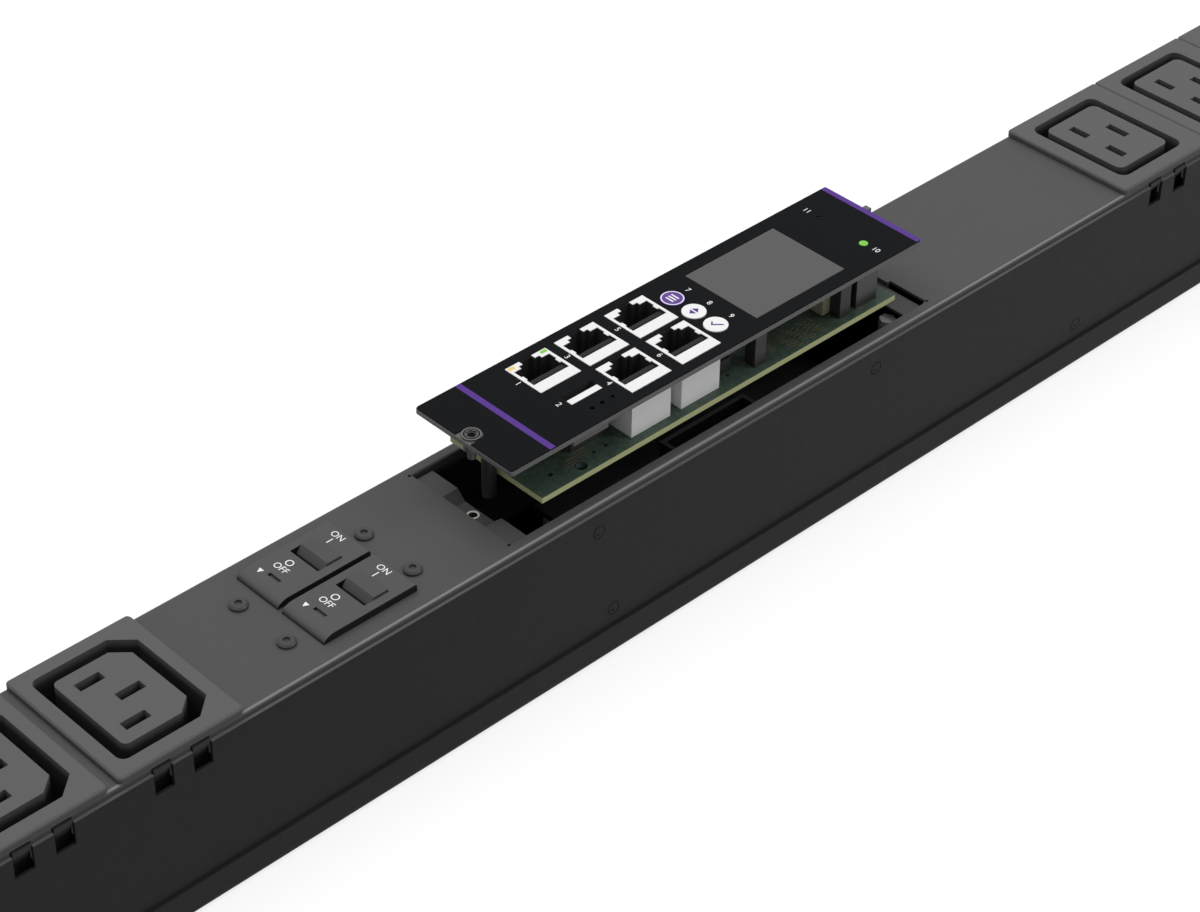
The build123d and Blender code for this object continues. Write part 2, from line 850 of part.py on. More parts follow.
def button(y):
    """Round key with a retaining flange and a square stem to its switch."""
    flange_top = module_low - button_clearance
    flange_low = flange_top - button_flange
    cap = rod(button_x, y, flange_top, module_top + button_proud, button_radius)
    flange = rod(button_x, y, flange_low, flange_top, button_radius + button_rim)
    stem_low = switch_top + button_travel + switch_gap
    stem = centred(button_x, y, stem_low, flange_low, button_stem, button_stem)
    return cap + flange + stem


def status_light():
    """Light pipe from the board to the face."""
    x, y = light_place
    return rod(x, y, board_top, module_top, light_radius)


def reset_button():
    """Small plunger behind the pin hole."""
    x, y = reset_place
    low = board_top + reset_switch_height + reset_travel + switch_gap
    return rod(x, y, low, module_low - reset_drop, reset_plunger_radius)


def module_board():
    """Circuit board under the jacks, with a spare mounting hole and a tooling hole."""
    board = block(board_x0, board_x1, -board_width / 2, board_width / 2, board_low, board_top)
    for hole, radius in ((board_hole, board_hole_radius), (board_via, board_via_radius)):
        board -= rod(board_x0 + hole[0], hole[1], board_low - 1, board_top + 1, radius)
    return board


def spacer_places():
    """Places of the two hexagonal spacers on the far side of the board."""
    return ((board_x0 + spacer_inset, spacer_y), (board_x1 - spacer_inset, spacer_y))


def module_spacers():
    """Spacers, the near pillar and the guide post beside the captive screw."""
    group = [hexagon(x, y, board_top, module_low, spacer_across) for x, y in spacer_places()]
    group.append(centred(board_x1 - pillar_from_end, -board_width / 2 + pillar_inset, board_top, module_low,
                         pillar_long, pillar_wide))
    group.append(rod(captive_x + guide_pitch, 0, module_low - guide_length, module_low, guide_radius))
    return Compound(children=group)


def board_parts():
    """Components soldered to the board."""
    group = []
    for y in button_places.values():
        group.append(centred(button_x, y, board_top, switch_top, switch_side, switch_side))
    x, y = reset_place
    group.append(centred(x, y, board_top, board_top + reset_switch_height,
                         reset_switch_side, reset_switch_side))
    display_middle = display_place[0]
    group.append(centred(display_middle, 0, board_top, board_top + processor_high,
                         processor_side, processor_side))
    group.append(rod(display_middle + coil_place[0], coil_place[1], board_top, board_top + coil_high,
                     coil_radius))
    group.append(centred(display_middle + relay_place[0], relay_place[1], board_top, board_top + relay_high,
                         relay_long, relay_wide))
    group.append(centred(board_x0 + driver_place[0], driver_place[1], board_top, board_top + processor_high,
                         relay_long, relay_wide))
    return Compound(children=group)


def captive_screw():
    """Captive screw with its socket head, collar and shank."""
    top = module_top + captive_head_proud
    seat = module_top - label_sheet
    collar_low = dimple_top + module_lift + captive_seat_gap
    head = rod(captive_x, 0, seat, top, captive_head_radius)
    head -= hexagon(captive_x, 0, top - captive_key_depth, top + 1, captive_key)
    neck = rod(captive_x, 0, module_low, seat, captive_collar_radius - captive_collar_rim)
    collar = rod(captive_x, 0, collar_low, module_low, captive_collar_radius + captive_collar_rim)
    shank = rod(captive_x, 0, collar_low - captive_shank_length, collar_low, captive_shank_radius)
    return head + neck + collar + shank


# Docking connector

dock_x_place = module_x0 + dock_from_start
dock_base = dock_board_height + dock_board_thick


def module_plug():
    """Plug under the board that drops into the docking socket."""
    shell = 2 * (dock_wall + dock_clearance)
    return centred(dock_x_place, 0, board_low - plug_depth, board_low, dock_x - shell, dock_y - shell)


def dock_socket():
    """Open-topped socket on the docking board."""
    socket = centred(dock_x_place, 0, dock_base, dock_base + dock_height, dock_x, dock_y)
    hollow_x = dock_x - 2 * dock_wall
    hollow_y = dock_y - 2 * dock_wall
    return socket - centred(dock_x_place, 0, dock_base + dock_floor, dock_base + dock_height + 1,
                            hollow_x, hollow_y)


def dock_board():
    """Board on posts across the bars, under the module."""
    return centred(dock_x_place, 0, dock_board_height, dock_base, dock_board_length, dock_board_width)


def post_places():
    """Places of the posts under the docking board."""
    reach = dock_board_length / 2 - post_inset
    lane = dock_board_width / 2 - post_lane_inset
    return [(dock_x_place + end * reach, side * lane) for end in (-1, 1) for side in (-1, 1)]


def dock_posts():
    """Hexagonal posts under the docking board, and the taller one at the bay's end."""
    floor = 2 * sheet
    posts = [hexagon(x, y, floor, dock_board_height, post_across) for x, y in post_places()]
    end_x = bay_end - right_shelf - end_post_inset
    posts.append(hexagon(end_x, end_post_y, floor, front - end_post_drop, end_post_across))
    return Compound(children=posts)


def threaded_insert():
    """Clinched insert that takes the captive screw."""
    top = dimple_top
    sleeve = rod(insert_x, 0, top - insert_length, top, insert_radius)
    sleeve += rod(insert_x, 0, top - insert_length, top - sheet, insert_radius + insert_flange)
    return sleeve - rod(insert_x, 0, top - insert_length - 1, top + 1, insert_bore)


# Conductors

bars_left = c13_places[0] - bar_overhang
bars_right = c19_places[-1] + bar_overhang
split_left = breaker_x - 6.0
split_right = breaker_x + 6.0


def bar(x0, x1, lane):
    """One copper bar on its combs."""
    return block(x0, x1, lane - bar_wide / 2, lane + bar_wide / 2, bar_base, bar_top)


def bus_bar_line():
    """Live bars, one for each breaker."""
    return Compound(children=[bar(bars_left, split_left, bar_lane), bar(split_right, bars_right, bar_lane)])


def bus_bar_neutral():
    """Neutral bar through the whole case."""
    return bar(bars_left, bars_right, -bar_lane)


def bus_bar_earth():
    """Earth bar through the whole case."""
    return bar(bars_left, bars_right, 0.0)


def comb_places():
    """Places of the insulating combs, between the outlets and under the bay."""
    small = [(c13_places[i] + c13_places[i + 1]) / 2 for i in range(0, c13_count - 1, 2)]
    large = [(c19_places[i] + c19_places[i + 1]) / 2 for i in range(0, c19_count - 1, 2)]
    return [*small, dock_x_place, *large]


def bus_supports():
    """Insulating combs that hold the bars off the chassis floor."""
    group = []
    for x in comb_places():
        comb = centred(x, comb_shift, 2 * sheet, bar_base + comb_base_height, comb_length, comb_width)
        for lane in (-bar_lane, 0.0, bar_lane, feed_lane):
            comb -= centred(x, lane, bar_base, bar_base + comb_base_height + 1, comb_length + 2, bar_wide)
        group.append(comb)
    return Compound(children=group)


def feed_conductors():
    """Feed bar from the terminal block and the links at the breakers."""
    feed = bar(terminal_x, breaker_x + 12.0, feed_lane)
    half = breaker_pitch / 2
    riser_x = breaker_x + 9.0
    feed += block(riser_x - 2, riser_x + 2, feed_lane - 1.0, feed_lane + 1.0, bar_top - 0.5, link_high)
    feed += block(riser_x - 2, riser_x + 2, -half - 1, feed_lane + 1.0, link_low, link_high)
    for y in (-half, half):
        feed += block(riser_x - 2, riser_x + 2, y - 1, y + 1, link_low, breaker_floor)
    left_x = breaker_x - 9.0
    left = block(left_x - 2, left_x + 2, bar_lane - 1, half + 1, bar_top, breaker_floor)
    right_x = split_right - 3.5
    right = block(right_x - 5.0, right_x - 2.0, -half - 1, -half + 1, link_low, breaker_floor)
    right += block(right_x - 5.0, right_x - 2.0, -half - 1, bar_lane + 1, link_low, link_high)
    right += block(right_x - 5.0, split_right + 4.0, bar_lane - 1, bar_lane + 1, link_low, link_high)
    right += block(split_right + 1.0, split_right + 4.0, bar_lane - 1, bar_lane + 1, bar_top, link_high)
    return Compound(children=[feed, left, right])


terminal_length = 12.0
terminal_well = 3.6
terminal_x = case_start + cap_plug + terminal_length + 1.0


def terminal_block():
    """Three-way block where the supply lead lands."""
    x0 = terminal_x - terminal_length
    body = block(x0, terminal_x, -12.0, 18.0, 2 * sheet, bar_top + 2.0)
    for y in (-bar_lane, bar_lane, feed_lane):
        body -= centred(x0 + terminal_length / 2, y, bar_base + 2, bar_top + 3.0,
                        terminal_well, terminal_well)
    return body


def earth_stud():
    """Earth stud welded to the chassis floor, with its nut."""
    x = case_start + end_margin - 1.0
    y = -15.5
    floor = 2 * sheet
    stud = rod(x, y, floor, floor + 12.0, 2.0)
    return stud + hexagon(x, y, floor + 1.0, floor + 5.0, 7.0)


# Ends and gland

gland_z = 26.0


def end_cap(end):
    """Moulded end cap plugged into the case."""
    face = end * case_length / 2
    outer = face + end * cap_thick
    x0 = min(face, outer)
    x1 = max(face, outer)
    cap = Plane.YZ * RectangleRounded(2 * half_width, case_height, 1.6)
    cap = Pos(x0, 0, case_height / 2) * extrude(cap, x1 - x0)
    inner = face - end * cap_plug
    p0 = min(face, inner)
    p1 = max(face, inner)
    half = wall_inner - sheet - cap_clearance
    low = 2 * sheet + cap_clearance
    high = front - sheet - cap_clearance
    plug = block(p0, p1, -half, half, low, high)
    plug -= block(p0 - 1, p1 + 1, -half + cap_wall, half - cap_wall, low + cap_wall, high - cap_wall)
    cap = cap + plug
    if end < 0:
        cap -= rod_x(x0 - 1, x1 + 1, 0, gland_z, gland_radius + 0.1)
    return cap


def gland_body():
    """Gland body with its hexagon outside and its thread through the cap."""
    face = case_start - cap_thick
    hexa = Plane.YZ * RegularPolygon(gland_hex_across / 2, 6, major_radius=False)
    collar = Pos(face - gland_body_length, 0, gland_z) * extrude(hexa, gland_body_length)
    thread = rod_x(face, face + gland_thread_length, 0, gland_z, gland_radius)
    spigot_x1 = face - gland_body_length
    spigot = rod_x(spigot_x1 - gland_spigot_length, spigot_x1, 0, gland_z, gland_radius)
    body = collar + thread + spigot
    return body - rod_x(face - 30, face + 30, 0, gland_z, gland_radius - gland_wall)


def gland_nut():
    """Compression nut with its sloped mouth."""
    face = case_start - cap_thick - gland_body_length
    outer = rod_x(face - gland_nut_length, face, 0, gland_z, gland_hex_across / 2)
    outer = chamfer(outer.edges().group_by(Axis.X)[0], gland_nut_top)
    outer -= rod_x(face - gland_nut_length + gland_nut_top, face + 1, 0, gland_z, gland_radius)
    return outer - rod_x(face - gland_nut_length - 1, face, 0, gland_z, gland_bore + gland_mouth_gap)


def gland_seal():
    """Rubber sleeve that grips the lead."""
    face = case_start - cap_thick - gland_body_length
    sleeve = rod_x(face - gland_nut_length + gland_nut_top, face + gland_seal_overlap, 0, gland_z,
                   gland_radius - gland_wall)
    return sleeve - rod_x(face - 30, face + 30, 0, gland_z, gland_bore)


def gland_locknut():
    """Lock nut inside the end cap."""
    face = case_start
    hexa = Plane.YZ * RegularPolygon(gland_hex_across / 2, 6, major_radius=False)
    nut = Pos(face, 0, gland_z) * extrude(hexa, gland_locknut_thick)
    return nut - rod_x(face - 10, face + 10, 0, gland_z, gland_radius)


def end_screws():
    """Countersunk screws in the end caps."""
    group = []
    for end in (-1, 1):
        face = end * (case_length / 2 + cap_thick)
        tip = face - end * (cap_thick + cap_plug - 1.0)
        for side, z in ((-1, cap_screw_z), (1, case_height - cap_screw_z)):
            y = side * (wall_inner - cap_screw_inset)
            group.append(rod_x(min(face, tip), max(face, tip), y, z, cap_screw_radius))
    return Compound(children=group)


def add(name, shape):
    """Write one named node."""
    shape.label = name
    parts[name] = shape
    export_step(shape, f"parts/{name}.step")


def main():
    """Build and write every node."""
    os.makedirs("parts", exist_ok=True)
    screws = end_screws()
    add("front_cover", front_cover())
    add("chassis", chassis())
    add("back_cover", back_cover())
    for name, end in (("end_cap_left", -1), ("end_cap_right", 1)):
        cap = end_cap(end)
        for screw in screws.solids():
            cap -= screw
        add(name, cap)
    add("end_screws", screws)
    add("side_screws", side_screws())
    add("gland_body", gland_body())
    add("gland_nut", gland_nut())
    add("gland_seal", gland_seal())
    add("gland_locknut", gland_locknut())
    for i, x in enumerate(c13_places):
        add(f"c13_outlet_{i + 1}", c13_outlet(x))
    for i, x in enumerate(c19_places):
        add(f"c19_outlet_{i + 1}", c19_outlet(x))
    add("outlet_contacts", outlet_contacts())
    for i, side in enumerate((1, -1)):
        y = side * breaker_pitch / 2
        add(f"breaker_{i + 1}", breaker(y))
        add(f"breaker_lever_{i + 1}", breaker_lever(y))
    add("breaker_screws", breaker_screws())
    add("module_plate", module_plate())
    add("module_label", module_label())
    add("display_window", display_window())
    add("display_panel", display_panel())
    for name, y in button_places.items():
        add(name, button(y))
    add("status_light", status_light())
    add("reset_button", reset_button())
    for name, place in jack_places.items():
        add(name, jack(*place))
    add("usb_port", usb_port())
    add("module_board", module_board())
    add("board_parts", board_parts())
    add("module_spacers", module_spacers())
    add("captive_screw", captive_screw())
    add("module_plug", module_plug())
    add("dock_socket", dock_socket())
    add("dock_board", dock_board())
    add("dock_posts", dock_posts())
    add("threaded_insert", threaded_insert())
    add("bus_bar_line", bus_bar_line())
    add("bus_bar_neutral", bus_bar_neutral())
    add("bus_bar_earth", bus_bar_earth())
    add("bus_supports", bus_supports())
    add("feed_conductors", feed_conductors())
    add("terminal_block", terminal_block())
    add("earth_stud", earth_stud())
    print("nodes", len(parts), "length", round(case_length, 2))


if __name__ == "__main__":
    main()
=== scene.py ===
"""Finishes and fine details of a rack power distribution unit.

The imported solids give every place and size. This file dresses them with finishes worked out from
what the real pieces are made of, and adds what is too fine for the solids: printed marks, socket
liners, contacts, solder joints, copper tracks and threads. Sizes are in millimetres until a mesh
is made.
"""

from __future__ import annotations

import json
import logging
import math
from collections.abc import Iterable, Sequence
from dataclasses import dataclass, replace
from enum import Enum
from functools import cache

import bmesh
import bpy
from mathutils import Matrix, Vector

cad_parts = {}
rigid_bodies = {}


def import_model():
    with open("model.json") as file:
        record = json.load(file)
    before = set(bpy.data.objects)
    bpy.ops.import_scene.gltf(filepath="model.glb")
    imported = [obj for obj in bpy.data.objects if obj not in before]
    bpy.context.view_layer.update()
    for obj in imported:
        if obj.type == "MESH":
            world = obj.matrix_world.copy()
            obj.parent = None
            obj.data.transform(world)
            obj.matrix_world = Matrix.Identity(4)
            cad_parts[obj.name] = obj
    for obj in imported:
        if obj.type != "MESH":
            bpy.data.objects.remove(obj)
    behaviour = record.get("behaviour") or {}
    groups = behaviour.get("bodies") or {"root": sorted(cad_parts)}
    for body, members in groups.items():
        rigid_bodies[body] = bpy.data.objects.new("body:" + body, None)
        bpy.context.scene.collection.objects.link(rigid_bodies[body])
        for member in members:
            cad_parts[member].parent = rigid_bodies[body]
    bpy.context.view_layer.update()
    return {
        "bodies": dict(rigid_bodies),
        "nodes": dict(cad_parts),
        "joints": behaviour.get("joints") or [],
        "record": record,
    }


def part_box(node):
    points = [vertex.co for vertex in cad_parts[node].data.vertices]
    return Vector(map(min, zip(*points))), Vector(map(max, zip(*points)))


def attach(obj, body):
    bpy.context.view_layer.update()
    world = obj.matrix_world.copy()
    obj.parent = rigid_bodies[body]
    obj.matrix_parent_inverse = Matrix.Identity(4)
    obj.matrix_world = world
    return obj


MM = 0.001
LOG = logging.getLogger("power_unit")
Colour = tuple[float, float, float, float]
Flat = tuple[float, float]
Tree = bpy.types.NodeTree
Socket = bpy.types.NodeSocket
JACKS = ("jack_ethernet", "jack_in", "jack_out", "jack_sensor_1", "jack_sensor_2")
# Nodes that a plain number stands beside, in the order of the numbers.
NUMBERED = (
    "jack_ethernet",
    "usb_port",
    "jack_in",
    "jack_out",
    "jack_sensor_1",
    "jack_sensor_2",
    "menu_button",
    "scroll_button",
    "select_button",
    "status_light",
    "reset_button",
)


class Body(Enum):
    """Bodies that a piece can ride on."""

    CASE = "case"
    MODULE = "module"
    MENU_KEY = "menu_key"
    SCROLL_KEY = "scroll_key"
    SELECT_KEY = "select_key"


class Axis(Enum):
    """Direction of a pattern or of a round bar."""

    X = 0
    Y = 1
    Z = 2


def linear(code: str) -> Colour:
    """Turn an sRGB hex colour into a linear one.

    Args:
        code: Colour such as "#5b3a8e".

    Returns:
        Linear red, green, blue and alpha.
    """
    channels = [int(code[i : i + 2], 16) / 255 for i in (1, 3, 5)]
    straight = [c / 12.92 if c <= 0.04045 else ((c + 0.055) / 1.055) ** 2.4 for c in channels]
    return (straight[0], straight[1], straight[2], 1.0)


def add_node(
    tree: Tree, kind: str, settings: dict | None = None, links: dict | None = None
) -> bpy.types.Node:
    """Add a shader node with its settings and links.

    Args:
        tree: Node tree that takes the node.
        kind: Blender's name for the node's type.
        settings: Values by name; a capital or a number names an input socket.
        links: Output sockets by the name or number of the input that they feed.

    Returns:
        The new node.
    """
    node = tree.nodes.new(kind)
    for name, value in (settings or {}).items():
        if isinstance(name, int) or name[0].isupper():
            node.inputs[name].default_value = value
        else:
            setattr(node, name, value)
    for name, output in (links or {}).items():
        tree.links.new(output, node.inputs[name])
    return node


def maths(tree: Tree, operation: str, *values: float | Socket) -> Socket:
    """Return the result of one sum in a shader.

    Args:
        tree: Node tree that takes the node.
        operation: Blender's name of the sum.
        values: Numbers and sockets that it works on, in order.

    Returns:
        Socket of the result.
    """
    numbers = {i: value for i, value in enumerate(values) if isinstance(value, float)}
    sockets = {i: value for i, value in enumerate(values) if i not in numbers}
    return add_node(tree, "ShaderNodeMath", {"operation": operation, **numbers}, sockets).outputs[0]


def ramp(tree: Tree, value: Socket, start: Flat, end: Flat = (0.0, 1.0)) -> Socket:
    """Return a value that runs over one range while another runs over its own.

    Args:
        tree: Node tree that takes the node.
        value: Socket that leads.
        start: Range of the leading value.
        end: Range of the result.

    Returns:
        Socket of the result.
    """
    settings = {"From Min": start[0], "From Max": start[1], "To Min": end[0], "To Max": end[1]}
    return add_node(tree, "ShaderNodeMapRange", settings, {"Value": value}).outputs[0]


def blend(tree: Tree, share: Socket, none: Colour | Socket, full: Colour | Socket) -> Socket:
    """Return the mix of two colours.

    Args:
        tree: Node tree that takes the node.
        share: Share of the second colour.
        none: Colour where the share is 0.
        full: Colour where the share is 1.

    Returns:
        Socket of the mixed colour.
    """
    settings = {"data_type": "RGBA"}
    links = {0: share}
    for number, colour in ((6, none), (7, full)):
        held = settings if isinstance(colour, tuple) else links
        held[number] = colour
    return add_node(tree, "ShaderNodeMix", settings, links).outputs[2]


def noise(tree: Tree, place: Socket, width: float, detail: float, rough: float = 0.5) -> Socket:
    """Return soft patches over a surface, as wide as asked for in millimetres."""
    settings = {"Scale": 1 / (width * MM), "Detail": detail, "Roughness": rough}
    return add_node(tree, "ShaderNodeTexNoise", settings, {"Vector": place}).outputs[0]


def part_of(tree: Tree, vector: Socket, axis: Axis) -> Socket:
    """Return one part of a vector in a shader."""
    return add_node(tree, "ShaderNodeSeparateXYZ", links={"Vector": vector}).outputs[axis.value]


@dataclass(frozen=True)
class Finish:
    """A surface made in one way, such as a moulding or a coat of paint.

    Attributes:
        name: Common name of the material and of how its surface was made.
        colour: sRGB hex of the surface.
        roughness: Typical roughness of that surface.
        grain: Width of one grain or stroke in millimetres.
        relief: Height of the grain in millimetres.
        metallic: 1 for bare metal.
        specular: Reflection level of a dielectric.
        stray: How far the colour strays from its mean, as a share.
        edge: Rounding that the light finds on the edges, in millimetres.
        cloud: Width of the soft patches in the colour, in millimetres.
        glow: Strength of light given off.
    """

    name: str
    colour: str
    roughness: float = 0.5
    grain: float = 0.4
    relief: float = 0.01
    metallic: float = 0.0
    specular: float = 0.3
    stray: float = 0.06
    edge: float = 0.15
    glow: float = 0.0
    cloud: float = 14.0

    def stretch(self) -> Sequence[float]:
        """Return how much denser the grain lies along X, Y and Z."""
        return (1.0, 1.0, 1.0)

    def shade(self, share: float) -> Colour:
        """Return the finish's own colour, made darker or lighter by a share."""
        return (*(Vector(linear(self.colour)[:3]) * share), 1.0)

    def relief_map(self, tree: Tree, place: Socket) -> Socket:
        """Return the height of the grain over the surface.

        Args:
            tree: Node tree of the material.
            place: Place on the object, in metres.

        Returns:
            Height from 0 to 1.
        """
        return noise(tree, place, self.grain, 3.0, 0.55)

    def colour_map(self, tree: Tree, place: Socket) -> Socket:
        """Return the colour over the surface, mottled around the finish's own.

        Args:
            tree: Node tree of the material.
            place: Place on the object, in metres.

        Returns:
            Colour socket.
        """
        patches = noise(tree, place, self.cloud, 4.0, 0.6)
        return blend(tree, patches, self.shade(1 - self.stray), self.shade(1 + self.stray))

    def build(self) -> bpy.types.Material:
        """Make the material.

        Returns:
            A material with colour, roughness, grain and edge rounding from its nodes.
        """
        material = bpy.data.materials.new(self.name)
        material.use_nodes = True
        tree = material.node_tree
        tree.nodes.clear()
        coordinates = add_node(tree, "ShaderNodeTexCoord")
        place = add_node(
            tree,
            "ShaderNodeMapping",
            {"Scale": self.stretch()},
            {"Vector": coordinates.outputs["Object"]},
        ).outputs[0]
        height = self.relief_map(tree, place)
        gloss_range = (max(0.02, self.roughness - 0.06), min(1.0, self.roughness + 0.06))
        gloss = ramp(tree, height, (0.0, 1.0), gloss_range)
        rounding = add_node(tree, "ShaderNodeBevel", {"samples": 4, "Radius": self.edge * MM})
        bump = add_node(
            tree,
            "ShaderNodeBump",
            {"Strength": 1.0, "Distance": self.relief * MM},
            {"Height": height, "Normal": rounding.outputs[0]},
        )
        surface = add_node(
            tree,
            "ShaderNodeBsdfPrincipled",
            {
                "Metallic": self.metallic,
                "Specular IOR Level": 0.5 if self.metallic else self.specular,
                "Emission Color": linear(self.colour),
                "Emission Strength": self.glow,
            },
            {
                "Base Color": self.colour_map(tree, place),
                "Roughness": gloss,
                "Normal": bump.outputs[0],
            },
        )
        add_node(tree, "ShaderNodeOutputMaterial", links={"Surface": surface.outputs[0]})
        material.diffuse_color = linear(self.colour)
        return material


@dataclass(frozen=True)
class PowderCoat(Finish):
    """Baked powder on folded steel: fine grain over a slow orange peel."""

    peel: float = 2.2
    grain_share: float = 0.55

    def relief_map(self, tree: Tree, place: Socket) -> Socket:
        """Return grain of melted powder lying on its orange peel."""
        fine = super().relief_map(tree, place)
        return maths(tree, "MULTIPLY_ADD", fine, self.grain_share, noise(tree, place, self.peel, 1.0))


@dataclass(frozen=True)
class BurnishedCoat(PowderCoat):
    """Powder coat with a painted highlight: a light line along a fold or an edge of the sheet."""

    across: Axis = Axis.Y
    crest: float = 0.0
    reach: float = 0.3
    shine: str = "#828282"

    def colour_map(self, tree: Tree, place: Socket) -> Socket:
        """Return the powder's colour with the painted highlight line at the crest, on both sides of the
        case.
        """
        powder = super().colour_map(tree, place)
        outward = maths(tree, "ABSOLUTE", part_of(tree, place, self.across))
        off = maths(tree, "ABSOLUTE", maths(tree, "SUBTRACT", outward, self.crest * MM))
        share = ramp(tree, off, (self.reach * 0.4 * MM, self.reach * MM), (1.0, 0.0))
        # Painted highlight: the band at the crest takes a lighter colour in place of the light that the fold
        # or edge catches.
        return blend(tree, share, powder, linear(self.shine))


@dataclass(frozen=True)
class DrawnMetal(Finish):
    """Rolled, turned or drawn metal, with fine strokes along one axis."""

    metallic: float = 1.0
    along: Axis = Axis.X

    def stretch(self) -> Sequence[float]:
        """Return strokes that run long along the drawing axis."""
        dense = [1.0, 1.0, 1.0]
        dense[self.along.value] = 0.06
        return dense


@dataclass(frozen=True)
class SunkenMoulding(Finish):
    """Moulding with deep recesses, whose walls get painted shade below the face."""

    face: float = 0.0
    rim: float = 0.7
    fade: float = 1.8
    deep_share: float = 0.22

    def colour_map(self, tree: Tree, place: Socket) -> Socket:
        """Return the face's colour, with painted shade that darkens down the walls of the recesses."""
        upper = super().colour_map(tree, place)
        start = (self.face - self.rim) * MM
        share = ramp(tree, part_of(tree, place, Axis.Z), (start - self.fade * MM, start))
        # Painted shade: the colour darkens with depth below the face.
        return blend(tree, share, self.shade(self.deep_share), upper)


@dataclass(frozen=True)
class SlideMoulding(SunkenMoulding):
    """Moulding with painted shade on the walls of its two long sides."""

    rim: float = 0.8
    fade: float = 1.0
    side_share: float = 0.12

    def colour_map(self, tree: Tree, place: Socket) -> Socket:
        """Return the moulding's colour, with painted shade on the walls that look along Y."""
        moulded = super().colour_map(tree, place)
        facing = add_node(tree, "ShaderNodeTexCoord").outputs["Normal"]
        outward = maths(tree, "ABSOLUTE", part_of(tree, facing, Axis.Y))
        # Painted shade: walls that face along Y take a darker copy of the colour.
        return blend(tree, ramp(tree, outward, (0.5, 0.9)), moulded, self.shade(self.side_share))


@dataclass(frozen=True)
class SolderMask(Finish):
    """Green lacquer over copper and glass cloth, with shapes of copper showing through it."""

    copper_width: float = 1.5
    weave: float = 0.5

    def colour_map(self, tree: Tree, place: Socket) -> Socket:
        """Return mask that is lighter over copper and darker over bare laminate."""
        lands = add_node(
            tree,
            "ShaderNodeTexVoronoi",
            {"distance": "CHEBYCHEV", "feature": "F1", "Scale": 1 / (self.copper_width * MM)},
            {"Vector": place},
        )
        steps = add_node(
            tree,
            "ShaderNodeMapRange",
            {"interpolation_type": "STEPPED", "Steps": 3.0, "From Max": 0.8},
            {"Value": lands.outputs["Distance"]},
        )
        return blend(tree, steps.outputs[0], self.shade(1.25), self.shade(0.8))

    def relief_map(self, tree: Tree, place: Socket) -> Socket:
        """Return the weave of the glass cloth under the lacquer."""
        threads = [
            add_node(
                tree,
                "ShaderNodeTexWave",
                {"bands_direction": axis, "Scale": 0.314 / (self.weave * MM), "Distortion": 0.4},
                {"Vector": place},
            ).outputs[1]
            for axis in ("X", "Y")
        ]
        return maths(tree, "MULTIPLY", *threads)


# Polyester powder coat on folded steel. Fine grain breaks the light into a soft even grey. A painted
# highlight line runs along its folds.
COVER_PAINT = BurnishedCoat("charcoal_powder_coat", "#4c4c4c", 0.48, 0.35, 0.012, specular=0.16, stray=0.03)
# The same powder in black on the chassis and back cover, a little rougher in the grain. On the chassis it
# has a painted highlight line along the top edge of the walls.
CHASSIS_PAINT = BurnishedCoat("black_powder_coat", "#272727", 0.46, 0.4, 0.014, specular=0.08, stray=0.04)
# The same black powder without the painted highlight line.
BACK_PAINT = PowderCoat("black_powder_coat_back", "#272727", 0.46, 0.4, 0.014, specular=0.08, stray=0.04)
# Glass filled polyamide, moulded against a spark eroded tool: even and matt. Painted shade darkens its
# recesses below the face.
OUTLET_PLASTIC = SunkenMoulding("charcoal_polyamide", "#5a5a5a", 0.55, 0.3, 0.008, specular=0.16, stray=0.03)
# Melamine filled polyester of a breaker, a shade lighter and smoother than the outlets. Painted shade
# darkens its long sides and its walls below the face.
BREAKER_PLASTIC = SlideMoulding("breaker_polyester", "#4f4f4f", 0.48, 0.3, 0.006, specular=0.16, stray=0.03)
LEVER_PLASTIC = Finish("lever_polyamide", "#4b4b4b", 0.4, 0.3, 0.005, specular=0.16, stray=0.03)
# Lacquer baked over pan-head screws in the colour of the cover, smoother than its powder.
SCREW_LACQUER = Finish("charcoal_screw_lacquer", "#414141", 0.42, 0.25, 0.004, specular=0.2, edge=0.08)
# Polyamide of the end caps and of the cable gland, black in the mass.
CAP_PLASTIC = Finish("black_polyamide", "#2b2b2b", 0.5, 0.35, 0.01, specular=0.3)
# Soft synthetic rubber, which bends light little and shows no edges.
SEAL_RUBBER = Finish("black_chloroprene", "#1d1d1d", 0.75, 0.25, 0.012, specular=0.2)
# Black oxide on alloy steel screws: dark with a dull sheen on the rims.
BLACK_STEEL = Finish("black_oxide_steel", "#3a3a3a", 0.38, 0.2, 0.004, metallic=0.6, edge=0.1)
# Zinc and nickel on the captive screw, darkened by its conversion coat.
DULL_STEEL = DrawnMetal("dull_zinc_nickel_steel", "#5d5d5c", 0.5, 0.2, 0.004, along=Axis.Z, edge=0.04)
# Zinc passivated in a rough bath, dull enough to scatter what light falls into the bay.
DULL_ZINC = Finish("passivated_zinc_post", "#a9a9a6", 0.5, 0.2, 0.004, specular=0.4, edge=0.05)
# Painted glint on the lip of the insert: a pale matt ring in place of the light that the lip catches.
PAINTED_GLINT = Finish("painted_glint_lip", "#d8d8d4", 0.4, 0.2, 0.002, specular=0.5, edge=0.03)
# Nickel over steel, bright even in a shadow.
BRIGHT_STEEL = DrawnMetal("nickel_plated_steel", "#c9c9c6", 0.25, 0.15, 0.002, along=Axis.Z)
# Painted steel face of the controller module, seen only as a thin edge round the overlay.
MODULE_PAINT = PowderCoat("grey_powder_coat", "#5c5c5c", 0.45, 0.3, 0.008, specular=0.3, stray=0.02)
# Polyester overlay with a velvet face that spreads the light.
OVERLAY = Finish(
    "velvet_polyester_overlay", "#131416", 0.62, 0.12, 0.003, specular=0.03, stray=0.03, edge=0.05
)
